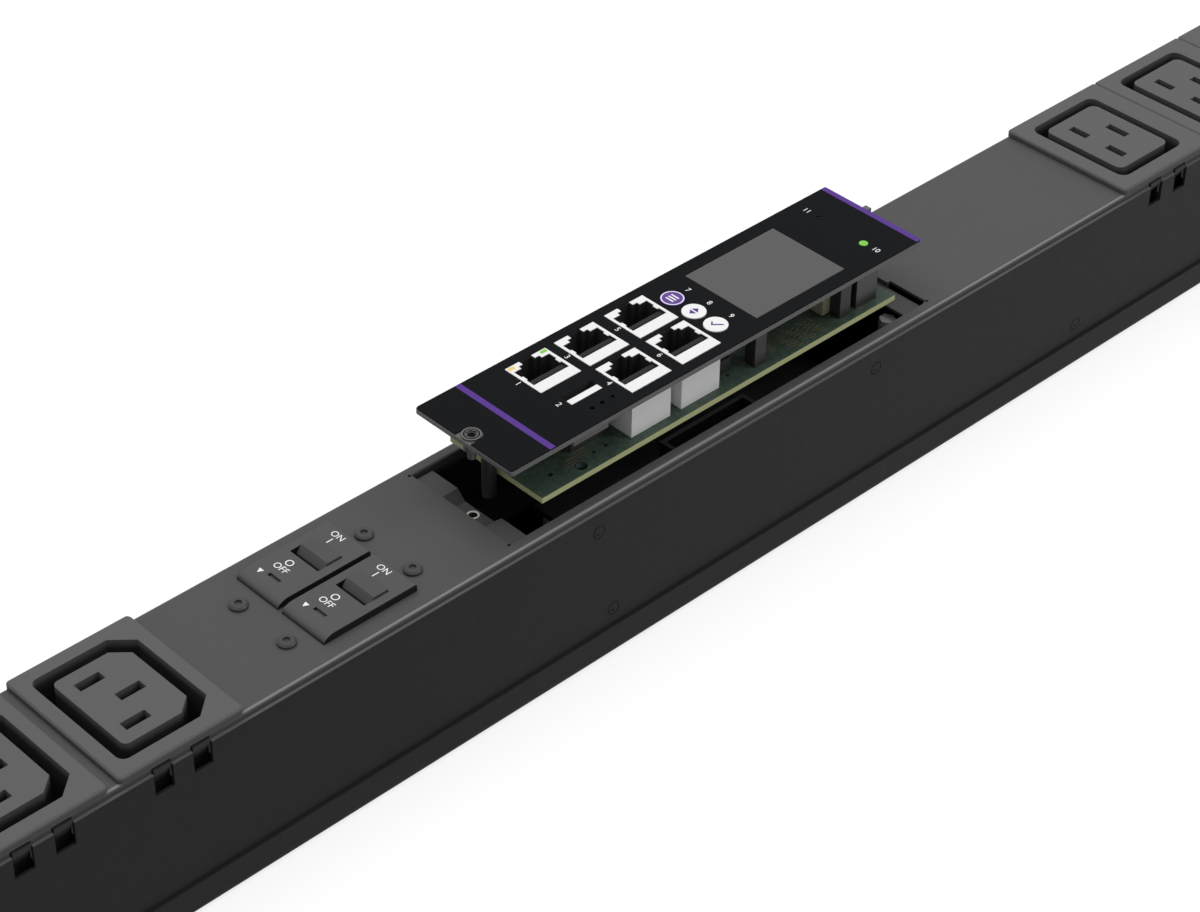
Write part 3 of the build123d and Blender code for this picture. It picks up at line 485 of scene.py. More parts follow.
# Screen printed inks on the overlay, thin and even.
PURPLE_INK = Finish("purple_screen_ink", "#553489", 0.55, 0.2, 0.002, specular=0.15, stray=0.02, edge=0.01)
WHITE_INK = Finish("white_screen_ink", "#f4f4f4", 0.6, 0.2, 0.002, specular=0.15, stray=0.01, edge=0.01)
# Key caps in acrylonitrile butadiene styrene with a satin face.
PURPLE_KEY = Finish("purple_abs_key", "#5a3690", 0.4, 0.25, 0.003, specular=0.3, stray=0.02)
WHITE_KEY = Finish("white_abs_key", "#f1f1f1", 0.4, 0.25, 0.003, specular=0.3, stray=0.01)
# Glass filled thermoplastic of the jacks, opaque white.
JACK_PLASTIC = Finish("white_polyester_jack", "#efefef", 0.5, 0.3, 0.004, specular=0.25, stray=0.015)
# The dark insert that carries a jack's contacts, deep in the opening.
JACK_INSERT = Finish("black_contact_carrier", "#2a2a2a", 0.6, 0.3, 0.004, specular=0.1)
# The comb over the contacts, moulded like the carrier but polished by its tool.
JACK_COMB = Finish("dark_contact_comb", "#262626", 0.5, 0.3, 0.003, specular=0.1)
# Gold flashed phosphor bronze contact wires.
GOLD_WIRE = DrawnMetal("gold_flashed_bronze", "#d6a84a", 0.22, 0.1, 0.001, along=Axis.Z)
# Tin plated steel shell of the host port, dull and dark under the plate.
TIN_SHELL = DrawnMetal("tin_plated_steel", "#565654", 0.45, 0.2, 0.002, along=Axis.X)
# Cast acrylic window over a grey panel, hard coated on its face.
WINDOW = Finish("hard_coated_acrylic", "#575757", 0.34, 0.5, 0.0005, specular=0.15, stray=0.01, edge=0.05)
# Light pipes: clear acrylic that carries the lamp's colour to the face.
GREEN_LIGHT = Finish("green_light_pipe", "#6fb43a", 0.3, 0.4, 0.001, specular=0.4, glow=0.25, edge=0.1)
YELLOW_LIGHT = Finish("yellow_light_pipe", "#d8bf5c", 0.3, 0.4, 0.001, specular=0.4, glow=0.2, edge=0.1)
# Glass epoxy board under green solder mask.
BOARD = SolderMask("green_solder_mask", "#415146", 0.42, 0.5, 0.01, specular=0.3, edge=0.02)
# The sawn edge of the board, where the pale laminate shows.
BOARD_EDGE = Finish("glass_epoxy_laminate", "#bcc08f", 0.6, 0.25, 0.02, specular=0.2, stray=0.1, edge=0.02)
# Copper tracks under the mask, seen as warm brown lines.
MASKED_COPPER = Finish("masked_copper", "#6d5a3a", 0.4, 0.3, 0.002, specular=0.4, stray=0.1, edge=0.02)
# Lacquer over the docking board, painted black for the shade deep in the bay, so that the bay looks empty.
BAY_SHADE_BOARD = SolderMask("black_solder_mask", "#1c1e1e", 0.45, 0.5, 0.01, specular=0.25, edge=0.02)
# Shadow in a seam, a socket or a drilled hole, painted where it is too fine to cut.
SEAM = Finish("shadowed_seam", "#0d0d0d", 0.8, 0.2, 0.002, specular=0.05, stray=0.02, edge=0.01)
# Tin on pads and solder joints.
SOLDER = DrawnMetal("tin_solder", "#b9bab5", 0.3, 0.3, 0.004, along=Axis.Z)
# Moulded epoxy of chips, relays and inductors.
EPOXY = Finish("black_moulding_epoxy", "#232323", 0.5, 0.15, 0.006, specular=0.3)
# Cream cover of the relay.
CERAMIC = Finish("cream_ceramic", "#a59f86", 0.5, 0.3, 0.004, specular=0.3)
# Copper bars, rolled and then bare: strokes run along the bar.
BAR_COPPER = DrawnMetal("rolled_copper", "#b5714a", 0.3, 0.25, 0.003, along=Axis.X)
# Stamped brass of the outlet contacts.
CONTACT_BRASS = DrawnMetal("stamped_brass", "#c4a55c", 0.28, 0.2, 0.002, along=Axis.Z)
# Unfilled polycarbonate combs and terminal block.
INSULATOR = Finish("grey_polycarbonate", "#8b8f92", 0.45, 0.3, 0.004, specular=0.35)
# Dark liquid crystal carrier behind the window.
PANEL_PLASTIC = Finish("dark_panel_frame", "#262626", 0.5, 0.3, 0.004)


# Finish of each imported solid. Cover, chassis, outlets and breakers get theirs from their classes,
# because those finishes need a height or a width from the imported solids.
WORN_BY = {
    BACK_PAINT: ("back_cover", "side_screws"),
    CAP_PLASTIC: ("end_cap_left", "end_cap_right", "gland_body", "gland_nut", "gland_locknut"),
    SEAL_RUBBER: ("gland_seal",),
    BLACK_STEEL: ("end_screws", "module_spacers"),
    BRIGHT_STEEL: ("threaded_insert", "earth_stud"),
    LEVER_PLASTIC: ("breaker_lever_1", "breaker_lever_2"),
    SCREW_LACQUER: ("breaker_screws",),
    CONTACT_BRASS: ("outlet_contacts",),
    MODULE_PAINT: ("module_plate",),
    OVERLAY: ("module_label",),
    WINDOW: ("display_window",),
    PANEL_PLASTIC: ("display_panel", "reset_button"),
    PURPLE_KEY: ("menu_button",),
    WHITE_KEY: ("scroll_button", "select_button"),
    GREEN_LIGHT: ("status_light",),
    JACK_PLASTIC: JACKS,
    TIN_SHELL: ("usb_port",),
    DULL_STEEL: ("captive_screw",),
    BOARD: ("module_board",),
    BAY_SHADE_BOARD: ("dock_board",),
    EPOXY: ("board_parts", "module_plug", "dock_socket"),
    DULL_ZINC: ("dock_posts",),
    BAR_COPPER: ("bus_bar_line", "bus_bar_neutral", "bus_bar_earth", "feed_conductors"),
    INSULATOR: ("bus_supports", "terminal_block"),
}


@cache
def material_of(finish: Finish) -> bpy.types.Material:
    """Return the material of a finish, made the first time that it is asked for."""
    return finish.build()


def dress(frame: dict, nodes: Iterable[str], finish: Finish) -> None:
    """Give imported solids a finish.

    Args:
        nodes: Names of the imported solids.
        finish: Finish that they all take.
    """
    for name in nodes:
        slots = frame["nodes"][name].data.materials
        slots.clear()
        slots.append(material_of(finish))
        LOG.info("dressed %s in %s", name, finish.name)


@dataclass(frozen=True)
class Space:
    """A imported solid's box in millimetres."""

    low: Vector
    high: Vector

    @classmethod
    def of(cls, node: str) -> Space:
        """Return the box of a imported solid."""
        low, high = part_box(node)
        return cls(low / MM, high / MM)

    @classmethod
    def each_of(cls, thing: bpy.types.Object) -> list[Space]:
        """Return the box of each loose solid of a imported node.

        Args:
            thing: The node's object, whose mesh is only read.

        Returns:
            One box for every solid, in order along X.
        """
        solids = bmesh.new()
        solids.from_mesh(thing.data)
        bmesh.ops.remove_doubles(solids, verts=solids.verts, dist=0.001 * MM)
        waiting = set(solids.verts)
        boxes = []
        while waiting:
            edge_of_search = [waiting.pop()]
            points = []
            while edge_of_search:
                vertex = edge_of_search.pop()
                points.append(vertex.co / MM)
                for edge in vertex.link_edges:
                    other = edge.other_vert(vertex)
                    if other in waiting:
                        waiting.remove(other)
                        edge_of_search.append(other)
            low = Vector([min(p[i] for p in points) for i in range(3)])
            high = Vector([max(p[i] for p in points) for i in range(3)])
            boxes.append(cls(low, high))
        solids.free()
        return sorted(boxes, key=lambda box: (round(box.low.x, 2), box.low.y))

    @property
    def middle(self) -> Vector:
        """Middle of the box."""
        return (self.low + self.high) / 2


class Piece:
    """A mesh that grows solid by solid, in millimetres."""

    def __init__(self, name: str) -> None:
        """Start an empty piece.

        Args:
            name: Name that the piece will have.
        """
        self.name = name
        self.mesh = bmesh.new()

    def prism(self, outline: Sequence[Flat], low: float, high: float, edge: float = 0.0) -> None:
        """Add an upright solid with a flat outline.

        Args:
            outline: Corners counter-clockwise, seen from above.
            low: Height of its foot.
            high: Height of its top.
            edge: Width of the bevel round its top.
        """
        foot = [self.mesh.verts.new((x, y, low)) for x, y in outline]
        top = [self.mesh.verts.new((x, y, high)) for x, y in outline]
        count = len(outline)
        self.mesh.faces.new(foot[::-1])
        lid = self.mesh.faces.new(top)
        for i in range(count):
            j = (i + 1) % count
            self.mesh.faces.new((foot[i], foot[j], top[j], top[i]))
        if edge:
            bmesh.ops.bevel(
                self.mesh, geom=list(lid.edges), offset=edge, segments=2, profile=0.5, affect="EDGES"
            )

    def block(self, x: Flat, y: Flat, z: Flat, edge: float = 0.0) -> None:
        """Add a block given by its ranges along X, Y and Z, with its top bevelled."""
        self.prism(oblong(x, y), z[0], z[1], edge)

    def disc(
        self, centre: Flat, low: float, high: float, radius: float, edge: float = 0.0, sides: int = 32
    ) -> None:
        """Add an upright round bar, or a regular one with few sides."""
        self.prism(circle(centre, radius, sides), low, high, edge)

    def tube(self, outer: Sequence[Flat], inner: Sequence[Flat], low: float, high: float) -> None:
        """Add an upright wall between two outlines with as many corners each.

        Args:
            outer: Corners of the outer outline, counter-clockwise.
            inner: The matching corners of the inner outline.
            low: Height of its foot.
            high: Height of its top.
        """
        rings = [
            [self.mesh.verts.new((x, y, z)) for x, y in outline]
            for outline, z in ((outer, low), (outer, high), (inner, high), (inner, low))
        ]
        count = len(outer)
        for i in range(count):
            j = (i + 1) % count
            for k in range(4):
                a, b = rings[k], rings[(k + 1) % 4]
                self.mesh.faces.new((a[i], a[j], b[j], b[i]))

    def ring(
        self, centre: Flat, low: float, high: float, outer: float, inner: float, sides: int = 36
    ) -> None:
        """Add a flat ring."""
        self.tube(circle(centre, outer, sides), circle(centre, inner, sides), low, high)

    def wire(self, points: Sequence[Sequence[float]], radius: float, sides: int = 1) -> None:
        """Add a round wire along points.

        Args:
            points: Places that it runs through.
            radius: Radius of the wire.
            sides: Steps in each quarter of its section.
        """
        curve = bpy.data.curves.new(self.name, "CURVE")
        curve.dimensions = "3D"
        curve.bevel_depth = radius
        curve.bevel_resolution = sides
        curve.use_fill_caps = True
        spline = curve.splines.new("POLY")
        spline.points.add(len(points) - 1)
        for target, point in zip(spline.points, points, strict=True):
            target.co = (*point, 1.0)
        self.take(curve, Matrix.Identity(4))

    def lettering(self, text: str, size: float, centre: Flat, level: float, thick: float = 0.03) -> None:
        """Add a printed sign that reads across the case, with its top towards +X.

        Args:
            text: Number or switch sign.
            size: Height of the letters.
            centre: Middle of the sign.
            level: Height of the face that it is printed on.
            thick: Thickness of the ink.
        """
        cap_share = 0.7
        curve = bpy.data.curves.new(self.name, "FONT")
        curve.body = text
        curve.size = size / cap_share
        curve.align_x = "CENTER"
        curve.align_y = "CENTER"
        curve.extrude = thick / 2
        turn = Matrix.Rotation(-math.pi / 2, 4, "Z")
        self.take(curve, Matrix.Translation((*centre, level + thick / 2)) @ turn)

    def lay_on_side(self, centre: Sequence[float], outward: int) -> None:
        """Turn a piece drawn flat round its origin so that it lies on a side wall.

        Args:
            centre: Where its origin goes.
            outward: 1 for the far side wall, -1 for the near one.
        """
        turn = Matrix.Rotation(-outward * math.pi / 2, 4, "X")
        bmesh.ops.transform(self.mesh, matrix=Matrix.Translation(centre) @ turn, verts=self.mesh.verts)

    def join(self, other: Piece) -> None:
        """Add all that another piece has gathered, and empty it."""
        holder = bpy.data.meshes.new(other.name)
        other.mesh.to_mesh(holder)
        other.mesh.free()
        self.mesh.from_mesh(holder)
        bpy.data.meshes.remove(holder)

    def take(self, curve: bpy.types.Curve, place: Matrix) -> None:
        """Add the mesh of a curve or sign and delete the curve."""
        holder = bpy.data.objects.new(curve.name, curve)
        bpy.context.scene.collection.objects.link(holder)
        graph = bpy.context.evaluated_depsgraph_get()
        mesh = bpy.data.meshes.new_from_object(holder.evaluated_get(graph))
        mesh.transform(place)
        self.mesh.from_mesh(mesh)
        bpy.data.objects.remove(holder)
        bpy.data.curves.remove(curve)
        bpy.data.meshes.remove(mesh)

    def make(self, finish: Finish, body: Body = Body.MODULE) -> None:
        """Turn what was gathered into an object that rides on a body.

        Args:
            finish: Its finish.
            body: Body that it moves with.
        """
        bmesh.ops.remove_doubles(self.mesh, verts=self.mesh.verts, dist=1e-5)
        bmesh.ops.recalc_face_normals(self.mesh, faces=self.mesh.faces)
        bmesh.ops.scale(self.mesh, vec=(MM, MM, MM), verts=self.mesh.verts)
        mesh = bpy.data.meshes.new(self.name)
        self.mesh.to_mesh(mesh)
        self.mesh.free()
        mesh.materials.append(material_of(finish))
        thing = bpy.data.objects.new(self.name, mesh)
        bpy.context.scene.collection.objects.link(thing)
        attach(thing, body.value)
        LOG.info("made %s with %d faces", self.name, len(mesh.polygons))


def circle(centre: Flat, radius: float, sides: int, start: float = 0.0) -> list[Flat]:
    """Return the corners of a regular outline, counter-clockwise from an angle in degrees."""
    first = math.radians(start)
    step = 2 * math.pi / sides
    return [
        (centre[0] + radius * math.cos(first + i * step), centre[1] + radius * math.sin(first + i * step))
        for i in range(sides)
    ]


def oblong(x: Flat, y: Flat, grow: float = 0.0) -> list[Flat]:
    """Return the corners of a rectangle given by its ranges, grown on every side, counter-clockwise."""
    low = (x[0] - grow, y[0] - grow)
    high = (x[1] + grow, y[1] + grow)
    return [low, (high[0], low[1]), high, (low[0], high[1])]


@dataclass
class Casework:
    """Front cover, chassis and outlets, with the marks on them."""

    seam_radius: float = 1.85
    seam_wide: float = 0.2
    key_slot_long: float = 1.1
    key_slot_wide: float = 0.32
    key_slot_shift: float = 0.45
    skin: float = 0.02
    fold_inset: float = 0.35
    relief_radius: float = 0.42
    relief_out: float = 1.6
    relief_aside: float = 0.75
    lip_radius: float = 1.58
    lip_wide: float = 0.44
    lip_high: float = 0.12

    def dress(self, frame: dict) -> None:
        """Give the cover and the chassis their paints with painted highlight lines, and the outlets their
        plastic with painted shade in the recesses.
        """
        cover = Space.of("front_cover")
        chassis = Space.of("chassis")
        # Painted highlight along the cover's near and far folds.
        fold = replace(COVER_PAINT, across=Axis.Y, crest=cover.high.y - self.fold_inset)
        # Painted highlight along the top edge of the chassis walls.
        lip = replace(CHASSIS_PAINT, across=Axis.Z, crest=chassis.high.z, reach=0.3, shine="#5e5e5e")
        dress(frame, ["front_cover"], fold)
        dress(frame, ["chassis"], lip)
        outlets = [name for name in frame["nodes"] if "_outlet_" in name]
        # Painted shade darkens the outlets' recesses below their face.
        dress(frame, outlets, replace(OUTLET_PLASTIC, face=Space.of(outlets[0]).high.z))

    def mark_side_screws(self, frame: dict) -> None:
        """Paint the shadow in the fine seam and in the key slot of each painted side screw."""
        marks = Piece("side_screw_seams")
        for box in Space.each_of(frame["nodes"]["side_screws"]):
            outward = 1 if box.middle.y > 0 else -1
            mark = Piece("side_screw_seam")
            mark.ring((0.0, 0.0), 0.0, self.skin, self.seam_radius, self.seam_radius - self.seam_wide)
            low = -self.key_slot_shift
            mark.block(
                (low - self.key_slot_long / 2, low + self.key_slot_long / 2),
                (low - self.key_slot_wide / 2, low + self.key_slot_wide / 2),
                (0.0, self.skin),
            )
            face = box.high.y if outward > 0 else box.low.y
            mark.lay_on_side((box.middle.x, face, box.middle.z), outward)
            marks.join(mark)
        marks.make(SEAM, Body.CASE)

    def mark_bay(self) -> None:
        """Paint the shadow in the relief holes at the corners of the bay's folds, and a glint on the lip of
        the insert.
        """
        cover = Space.of("front_cover")
        module = Space.of("module_plate")
        reliefs = Piece("bay_relief_holes")
        middle = module.middle.x
        half = (module.high.x - module.low.x) / 2 + self.relief_out
        for end in (-1, 1):
            for side in (-1, 1):
                place = (middle + end * half, side * (module.high.y + self.relief_aside))
                reliefs.disc(place, cover.high.z - 0.01, cover.high.z + 0.01, self.relief_radius, 0.0, 20)
        reliefs.make(SEAM, Body.CASE)
        insert = Space.of("threaded_insert")
        centre = (insert.middle.x, insert.middle.y)
        # Painted glint: a pale ring on the lip of the insert.
        lip = Piece("threaded_insert_lip")
        top = insert.high.z
        lip.ring(centre, top, top + self.lip_high, self.lip_radius, self.lip_radius - self.lip_wide)
        lip.make(PAINTED_GLINT, Body.CASE)


@dataclass
class BreakerPair:
    """Two circuit breakers with their printed switch signs."""

    sign_height: float = 2.3
    arrow_size: float = 1.5
    sign_shift: float = 1.65
    on_from_end: float = 2.25
    line_from_end: float = 4.75
    ring_from_end: float = 16.55
    off_from_end: float = 19.05
    arrow_from_end: float = 23.15
    arrow_shift: float = 4.25

    def dress(self, frame: dict) -> None:
        """Give the breakers their plastic, with painted shade on their long sides and below their face."""
        face = Space.of("breaker_1").high.z
        dress(frame, ["breaker_1", "breaker_2"], replace(BREAKER_PLASTIC, face=face))

    def print_signs(self) -> None:
        """Print the switch signs and the arrow on each breaker."""
        for number in (1, 2):
            box = Space.of(f"breaker_{number}")
            end = box.high.x
            y = box.middle.y + self.sign_shift
            signs = Piece(f"breaker_{number}_signs")
            for text, from_end, height in (
                ("ON", self.on_from_end, self.sign_height * 0.8),
                ("I", self.line_from_end, self.sign_height * 0.9),
                ("O", self.ring_from_end, self.sign_height * 0.9),
                ("OFF", self.off_from_end, self.sign_height * 0.8),
            ):
                signs.lettering(text, height, (end - from_end, y), box.high.z)
            tip = (end - self.arrow_from_end - self.arrow_size / 2, box.middle.y + self.arrow_shift)
            back = tip[0] + self.arrow_size
            half = self.arrow_size / 2
            outline = [tip, (back, tip[1] - half), (back, tip[1] + half)]
            signs.prism(outline, box.high.z, box.high.z + 0.03)
            signs.make(WHITE_INK, Body.CASE)


@dataclass
class NetworkJack:
    """One upright network jack: dark insert, contact wires and lamp windows."""

    node: str
    lamps: bool = False
    plug_wide: float = 11.4
    plug_tall: float = 7.0
    key_wide: float = 6.7
    key_tall: float = 1.0
    latch_wide: float = 4.0
    plug_from_edge: float = 3.35
    wall: float = 0.1
    skin: float = 0.01
    depth: float = 11.4
    comb_start: float = 0.75
    comb_wide: float = 1.5
    comb_drop: float = 0.5
    comb_tall: float = 1.6
    tab_start: float = 2.6
    tab_long: float = 1.7
    tab_reach: float = 0.4
    tab_high: float = 0.26
    contact_count: int = 8
    contact_pitch: float = 1.02
    contact_radius: float = 0.18
    contact_start: float = 0.4
    contact_path: tuple[Flat, ...] = ((0.6, 2.2), (0.7, 3.2), (2.6, 9.2), (0.0, 10.8))
    lamp_wide: float = 1.9
    lamp_tall: float = 1.05
    lamp_inset: float = 0.35

    def opening(self, inset: float) -> list[Flat]:
        """Return the stepped outline of the plug opening, drawn in by an inset."""
        box = Space.of(self.node)
        x = box.middle.x
        low = box.low.y + self.plug_from_edge
        steps = [
            (self.plug_wide / 2 - inset, low + inset),
            (self.plug_wide / 2 - inset, low + self.plug_tall - inset),
            (self.key_wide / 2 - inset, low + self.plug_tall - inset),
            (self.key_wide / 2 - inset, low + self.plug_tall + self.key_tall - inset),
            (self.latch_wide / 2 - inset, low + self.plug_tall + self.key_tall - inset),
            (self.latch_wide / 2 - inset, box.high.y - inset),
        ]
        right = [(x + reach, y) for reach, y in steps]
        left = [(x - reach, y) for reach, y in reversed(steps)]
        return right + left

    def build(self) -> None:
        """Make the insert, the contacts and, where the jack has them, its lamps."""
        box = Space.of(self.node)
        self.build_insert(box)
        self.build_contacts(box)
        if self.lamps:
            self.build_lamps(box)

    def build_insert(self, box: Space) -> None:
        """Line the opening, and set the comb and the two side tabs in it."""
        x = box.middle.x
        top = box.high.z
        floor = top - self.depth
        insert = Piece(f"{self.node}_insert")
        insert.tube(self.opening(self.skin), self.opening(self.skin + self.wall), floor, top - 0.15)
        insert.prism(self.opening(self.skin + self.wall + 0.01), floor, floor + 0.4)
        insert.make(JACK_INSERT)
        near = box.low.y + self.plug_from_edge + self.wall
        side = self.plug_wide / 2 - self.wall
        start = near + self.comb_start
        height = (top - self.comb_drop - self.comb_tall, top - self.comb_drop)
        comb = Piece(f"{self.node}_comb")
        comb.block((x - side, x + side), (start, start + self.comb_wide), height, 0.2)
        comb.make(JACK_COMB)
        tabs = Piece(f"{self.node}_tabs")
        start = near + self.tab_start
        height = (top - 0.01 - self.tab_high, top - 0.01)
        for edge in (-1, 1):
            reach = sorted((x + edge * self.plug_wide / 2, x + edge * (side - self.tab_reach)))
            tabs.block((reach[0], reach[1]), (start, start + self.tab_long), height, 0.05)
        tabs.make(JACK_PLASTIC)

    def build_contacts(self, box: Space) -> None:
        """Bend the row of contact wires down to the floor of the insert."""
        near = box.low.y + self.plug_from_edge + self.wall + self.contact_start
        first = box.middle.x - self.contact_pitch * (self.contact_count - 1) / 2
        contacts = Piece(f"{self.node}_contacts")
        for i in range(self.contact_count):
            x = first + i * self.contact_pitch
            points = [(x, near + along, box.high.z - down) for along, down in self.contact_path]
            contacts.wire(points, self.contact_radius)
        contacts.make(GOLD_WIRE)

    def build_lamps(self, box: Space) -> None:
        """Set the two lamp windows in the far corners of the face."""
        y = box.high.y - self.lamp_tall - self.lamp_inset
        reach = self.lamp_wide + self.lamp_inset
        for side, finish, word in ((-1, YELLOW_LIGHT, "yellow"), (1, GREEN_LIGHT, "green")):
            edge = box.low.x if side < 0 else box.high.x
            x = sorted((edge - side * self.lamp_inset, edge - side * reach))
            lamp = Piece(f"{self.node}_{word}_lamp")
            lamp.block((x[0], x[1]), (y, y + self.lamp_tall), (box.high.z - 0.8, box.high.z + 0.03), 0.02)
            lamp.make(finish)


@dataclass
class ControllerModule:
    """Face plate with its overlay, keys, window, jacks and host port."""

    ink: float = 0.03
    stripe_from_end: float = 12.15
    stripe_wide: float = 1.7
    stripe_margin: float = 0.06
    number_height: float = 1.6
    port_number_gap: float = 1.5
    key_number_gap: float = 1.8
    light_number_gap: float = 4.2
    reset_ring: float = 0.82
    reset_hole: float = 0.62
    port_shell: float = 0.5
    port_lining: float = 0.06
    menu_bar_pitch: float = 0.95
    menu_bar_wide: float = 0.44
    menu_bar_long: float = 2.6
    arrow_gap: float = 0.25
    arrow_long: float = 1.3
    arrow_wide: float = 2.2
    tick: tuple[Flat, ...] = (
        (0.1, 1.6), (-1.2, 0.5), (1.3, -1.7), (1.3, -1.1), (-0.55, 0.55), (0.1, 1.1)
    )
    tongue_low: float = 9.0
    key_depth: float = 0.4
    key_shadow: float = 1.0
    head_ring: float = 2.0
    head_ring_wide: float = 0.35
    thread_turns: int = 6
    thread_start: float = 0.3
    thread_pitch: float = 0.5
    thread_outer: float = 1.07
    thread_inner: float = 0.95
    pin_switch_shift: float = 4.2
    pin_switch_from_edge: float = 3.55
    pin_switch_long: float = 15.2
    pin_switch_wide: float = 3.3
    pin_switch_high: float = 3.4
    bracket_long: float = 11.3
    bracket_high: float = 1.6

    def print_overlay(self) -> None:
        """Print the purple stripes and the plain numbers, and paint the shadow ring round the reset hole."""
        label = Space.of("module_label")
        top = label.high.z
        stripes = Piece("overlay_stripes")
        y = (label.low.y + self.stripe_margin, label.high.y - self.stripe_margin)
        x = label.low.x + self.stripe_from_end
        edge = label.high.x
        for reach in ((x, x + self.stripe_wide), (edge - self.stripe_wide, edge - 0.05)):
            stripes.block(reach, y, (top, top + self.ink))
        stripes.make(PURPLE_INK)
        numbers = Piece("overlay_numbers")
        for number, node in enumerate(NUMBERED, 1):
            numbers.lettering(str(number), self.number_height, self.number_place(node), top, self.ink)
        numbers.make(WHITE_INK)
        # Painted shadow round the reset hole.
        plunger = Space.of("reset_button").middle
        ring = Piece("reset_hole_ring")
        ring.ring((plunger.x, plunger.y), top, top + self.ink / 2, self.reset_ring, self.reset_hole)
        ring.make(SEAM)

    def number_place(self, node: str) -> Flat:
        """Return the place of the plain number beside a port, a key, the light or the reset hole."""
        box = Space.of(node)
        if node in JACKS or node == "usb_port":
            return (box.low.x - self.port_number_gap, box.middle.y)
        if node == "status_light":
            return (box.middle.x, box.middle.y - self.light_number_gap)
        if node == "reset_button":
            return (box.middle.x, box.middle.y + self.light_number_gap)
        return (box.high.x + self.key_number_gap, box.middle.y)

    def mark_keys(self) -> None:
        """Print the menu, scroll and select signs on their keys."""
        menu = Space.of("menu_button")
        x, y, top = menu.middle.x, menu.middle.y, menu.high.z
        sign = Piece("menu_key_sign")
        sign.ring((x, y), top, top + self.ink, 2.95, 2.65)
        reach = (y - self.menu_bar_long / 2, y + self.menu_bar_long / 2)
        for i in (-1, 0, 1):
            bar = x + i * self.menu_bar_pitch
            half = self.menu_bar_wide / 2
            sign.block((bar - half, bar + half), reach, (top, top + self.ink))
        sign.make(WHITE_INK, Body.MENU_KEY)
        scroll = Space.of("scroll_button")
        sign = Piece("scroll_key_sign")
        for side in (-1, 1):
            x = scroll.middle.x + side * self.arrow_gap
            y = scroll.middle.y
            half = side * self.arrow_wide / 2
            outline = [(x + side * self.arrow_long, y), (x, y + half), (x, y - half)]
            sign.prism(outline, scroll.high.z, scroll.high.z + self.ink)
        sign.make(PURPLE_INK, Body.SCROLL_KEY)
        select = Space.of("select_button")
        sign = Piece("select_key_sign")
        tick = [(select.middle.x + x, select.middle.y + y) for x, y in self.tick]
        sign.prism(tick, select.high.z, select.high.z + self.ink)
        sign.make(PURPLE_INK, Body.SELECT_KEY)

    def fit_jacks(self) -> None:
        """Fit each jack with its insert and contacts."""
        for node in JACKS:
            NetworkJack(node, lamps=node == "jack_ethernet").build()

    def fit_host_port(self) -> None:
        """Fit the host port with its white tongue and its black lining up to the face."""
        box = Space.of("usb_port")
        top = Space.of("module_label").high.z
        floor = box.high.z - self.tongue_low
        x = (box.low.x + self.port_shell, box.high.x - self.port_shell)
        y = (box.low.y + self.port_shell, box.high.y - self.port_shell)
        inner = oblong(x, y, -0.01 - self.port_lining)
        liner = Piece("usb_lining")
        liner.tube(oblong(x, y, -0.01), inner, floor, top - 0.02)
        liner.prism(inner, floor, floor + 0.4)
        liner.make(JACK_INSERT)
        tongue = Piece("usb_tongue")
        tongue.block((x[0] + 0.42, x[1] - 0.15), (y[0] + 0.1, y[0] + 2.1), (floor, top - 0.12), 0.06)
        tongue.make(JACK_PLASTIC)

    def detail_captive_screw(self) -> None:
        """Draw the seam round the captive screw's core, the shadow in its key and its thread."""
        screw = Space.of("captive_screw")
        centre = (screw.middle.x, screw.middle.y)
        seam = Piece("captive_screw_seam")
        top = screw.high.z
        seam.ring(centre, top - 0.01, top + 0.002, self.head_ring, self.head_ring - self.head_ring_wide)
        floor = top - self.key_depth
        seam.disc(centre, floor, floor + 0.02, self.key_shadow)
        seam.make(SEAM)
        thread = Piece("captive_screw_thread")
        for i in range(self.thread_turns):
            z = screw.low.z + self.thread_start + self.thread_pitch * i
            thread.ring(centre, z, z + self.thread_pitch * 0.4, self.thread_outer, self.thread_inner, 24)
        thread.make(DULL_STEEL)

    def hang_pin_switches(self) -> None:
        """Hang the pin switches under the plate's near edge, with the grey bracket that carries them."""
        plate = Space.of("module_plate")
        port = Space.of("usb_port")
        left = port.low.x - self.pin_switch_shift
        near = plate.low.y + self.pin_switch_from_edge
        foot = plate.low.z - self.pin_switch_high
        switch = Piece("pin_switch_body")
        reach = (left, left + self.pin_switch_long)
        switch.block(reach, (near, near + self.pin_switch_wide), (foot, plate.low.z - 0.01))
        switch.make(JACK_INSERT)
        bracket = Piece("pin_switch_bracket")
        reach = (left, left + self.bracket_long)
        bracket.block(reach, (near - 0.05, near + 1.2), (foot - self.bracket_high, foot - 0.01))
        bracket.make(MODULE_PAINT)


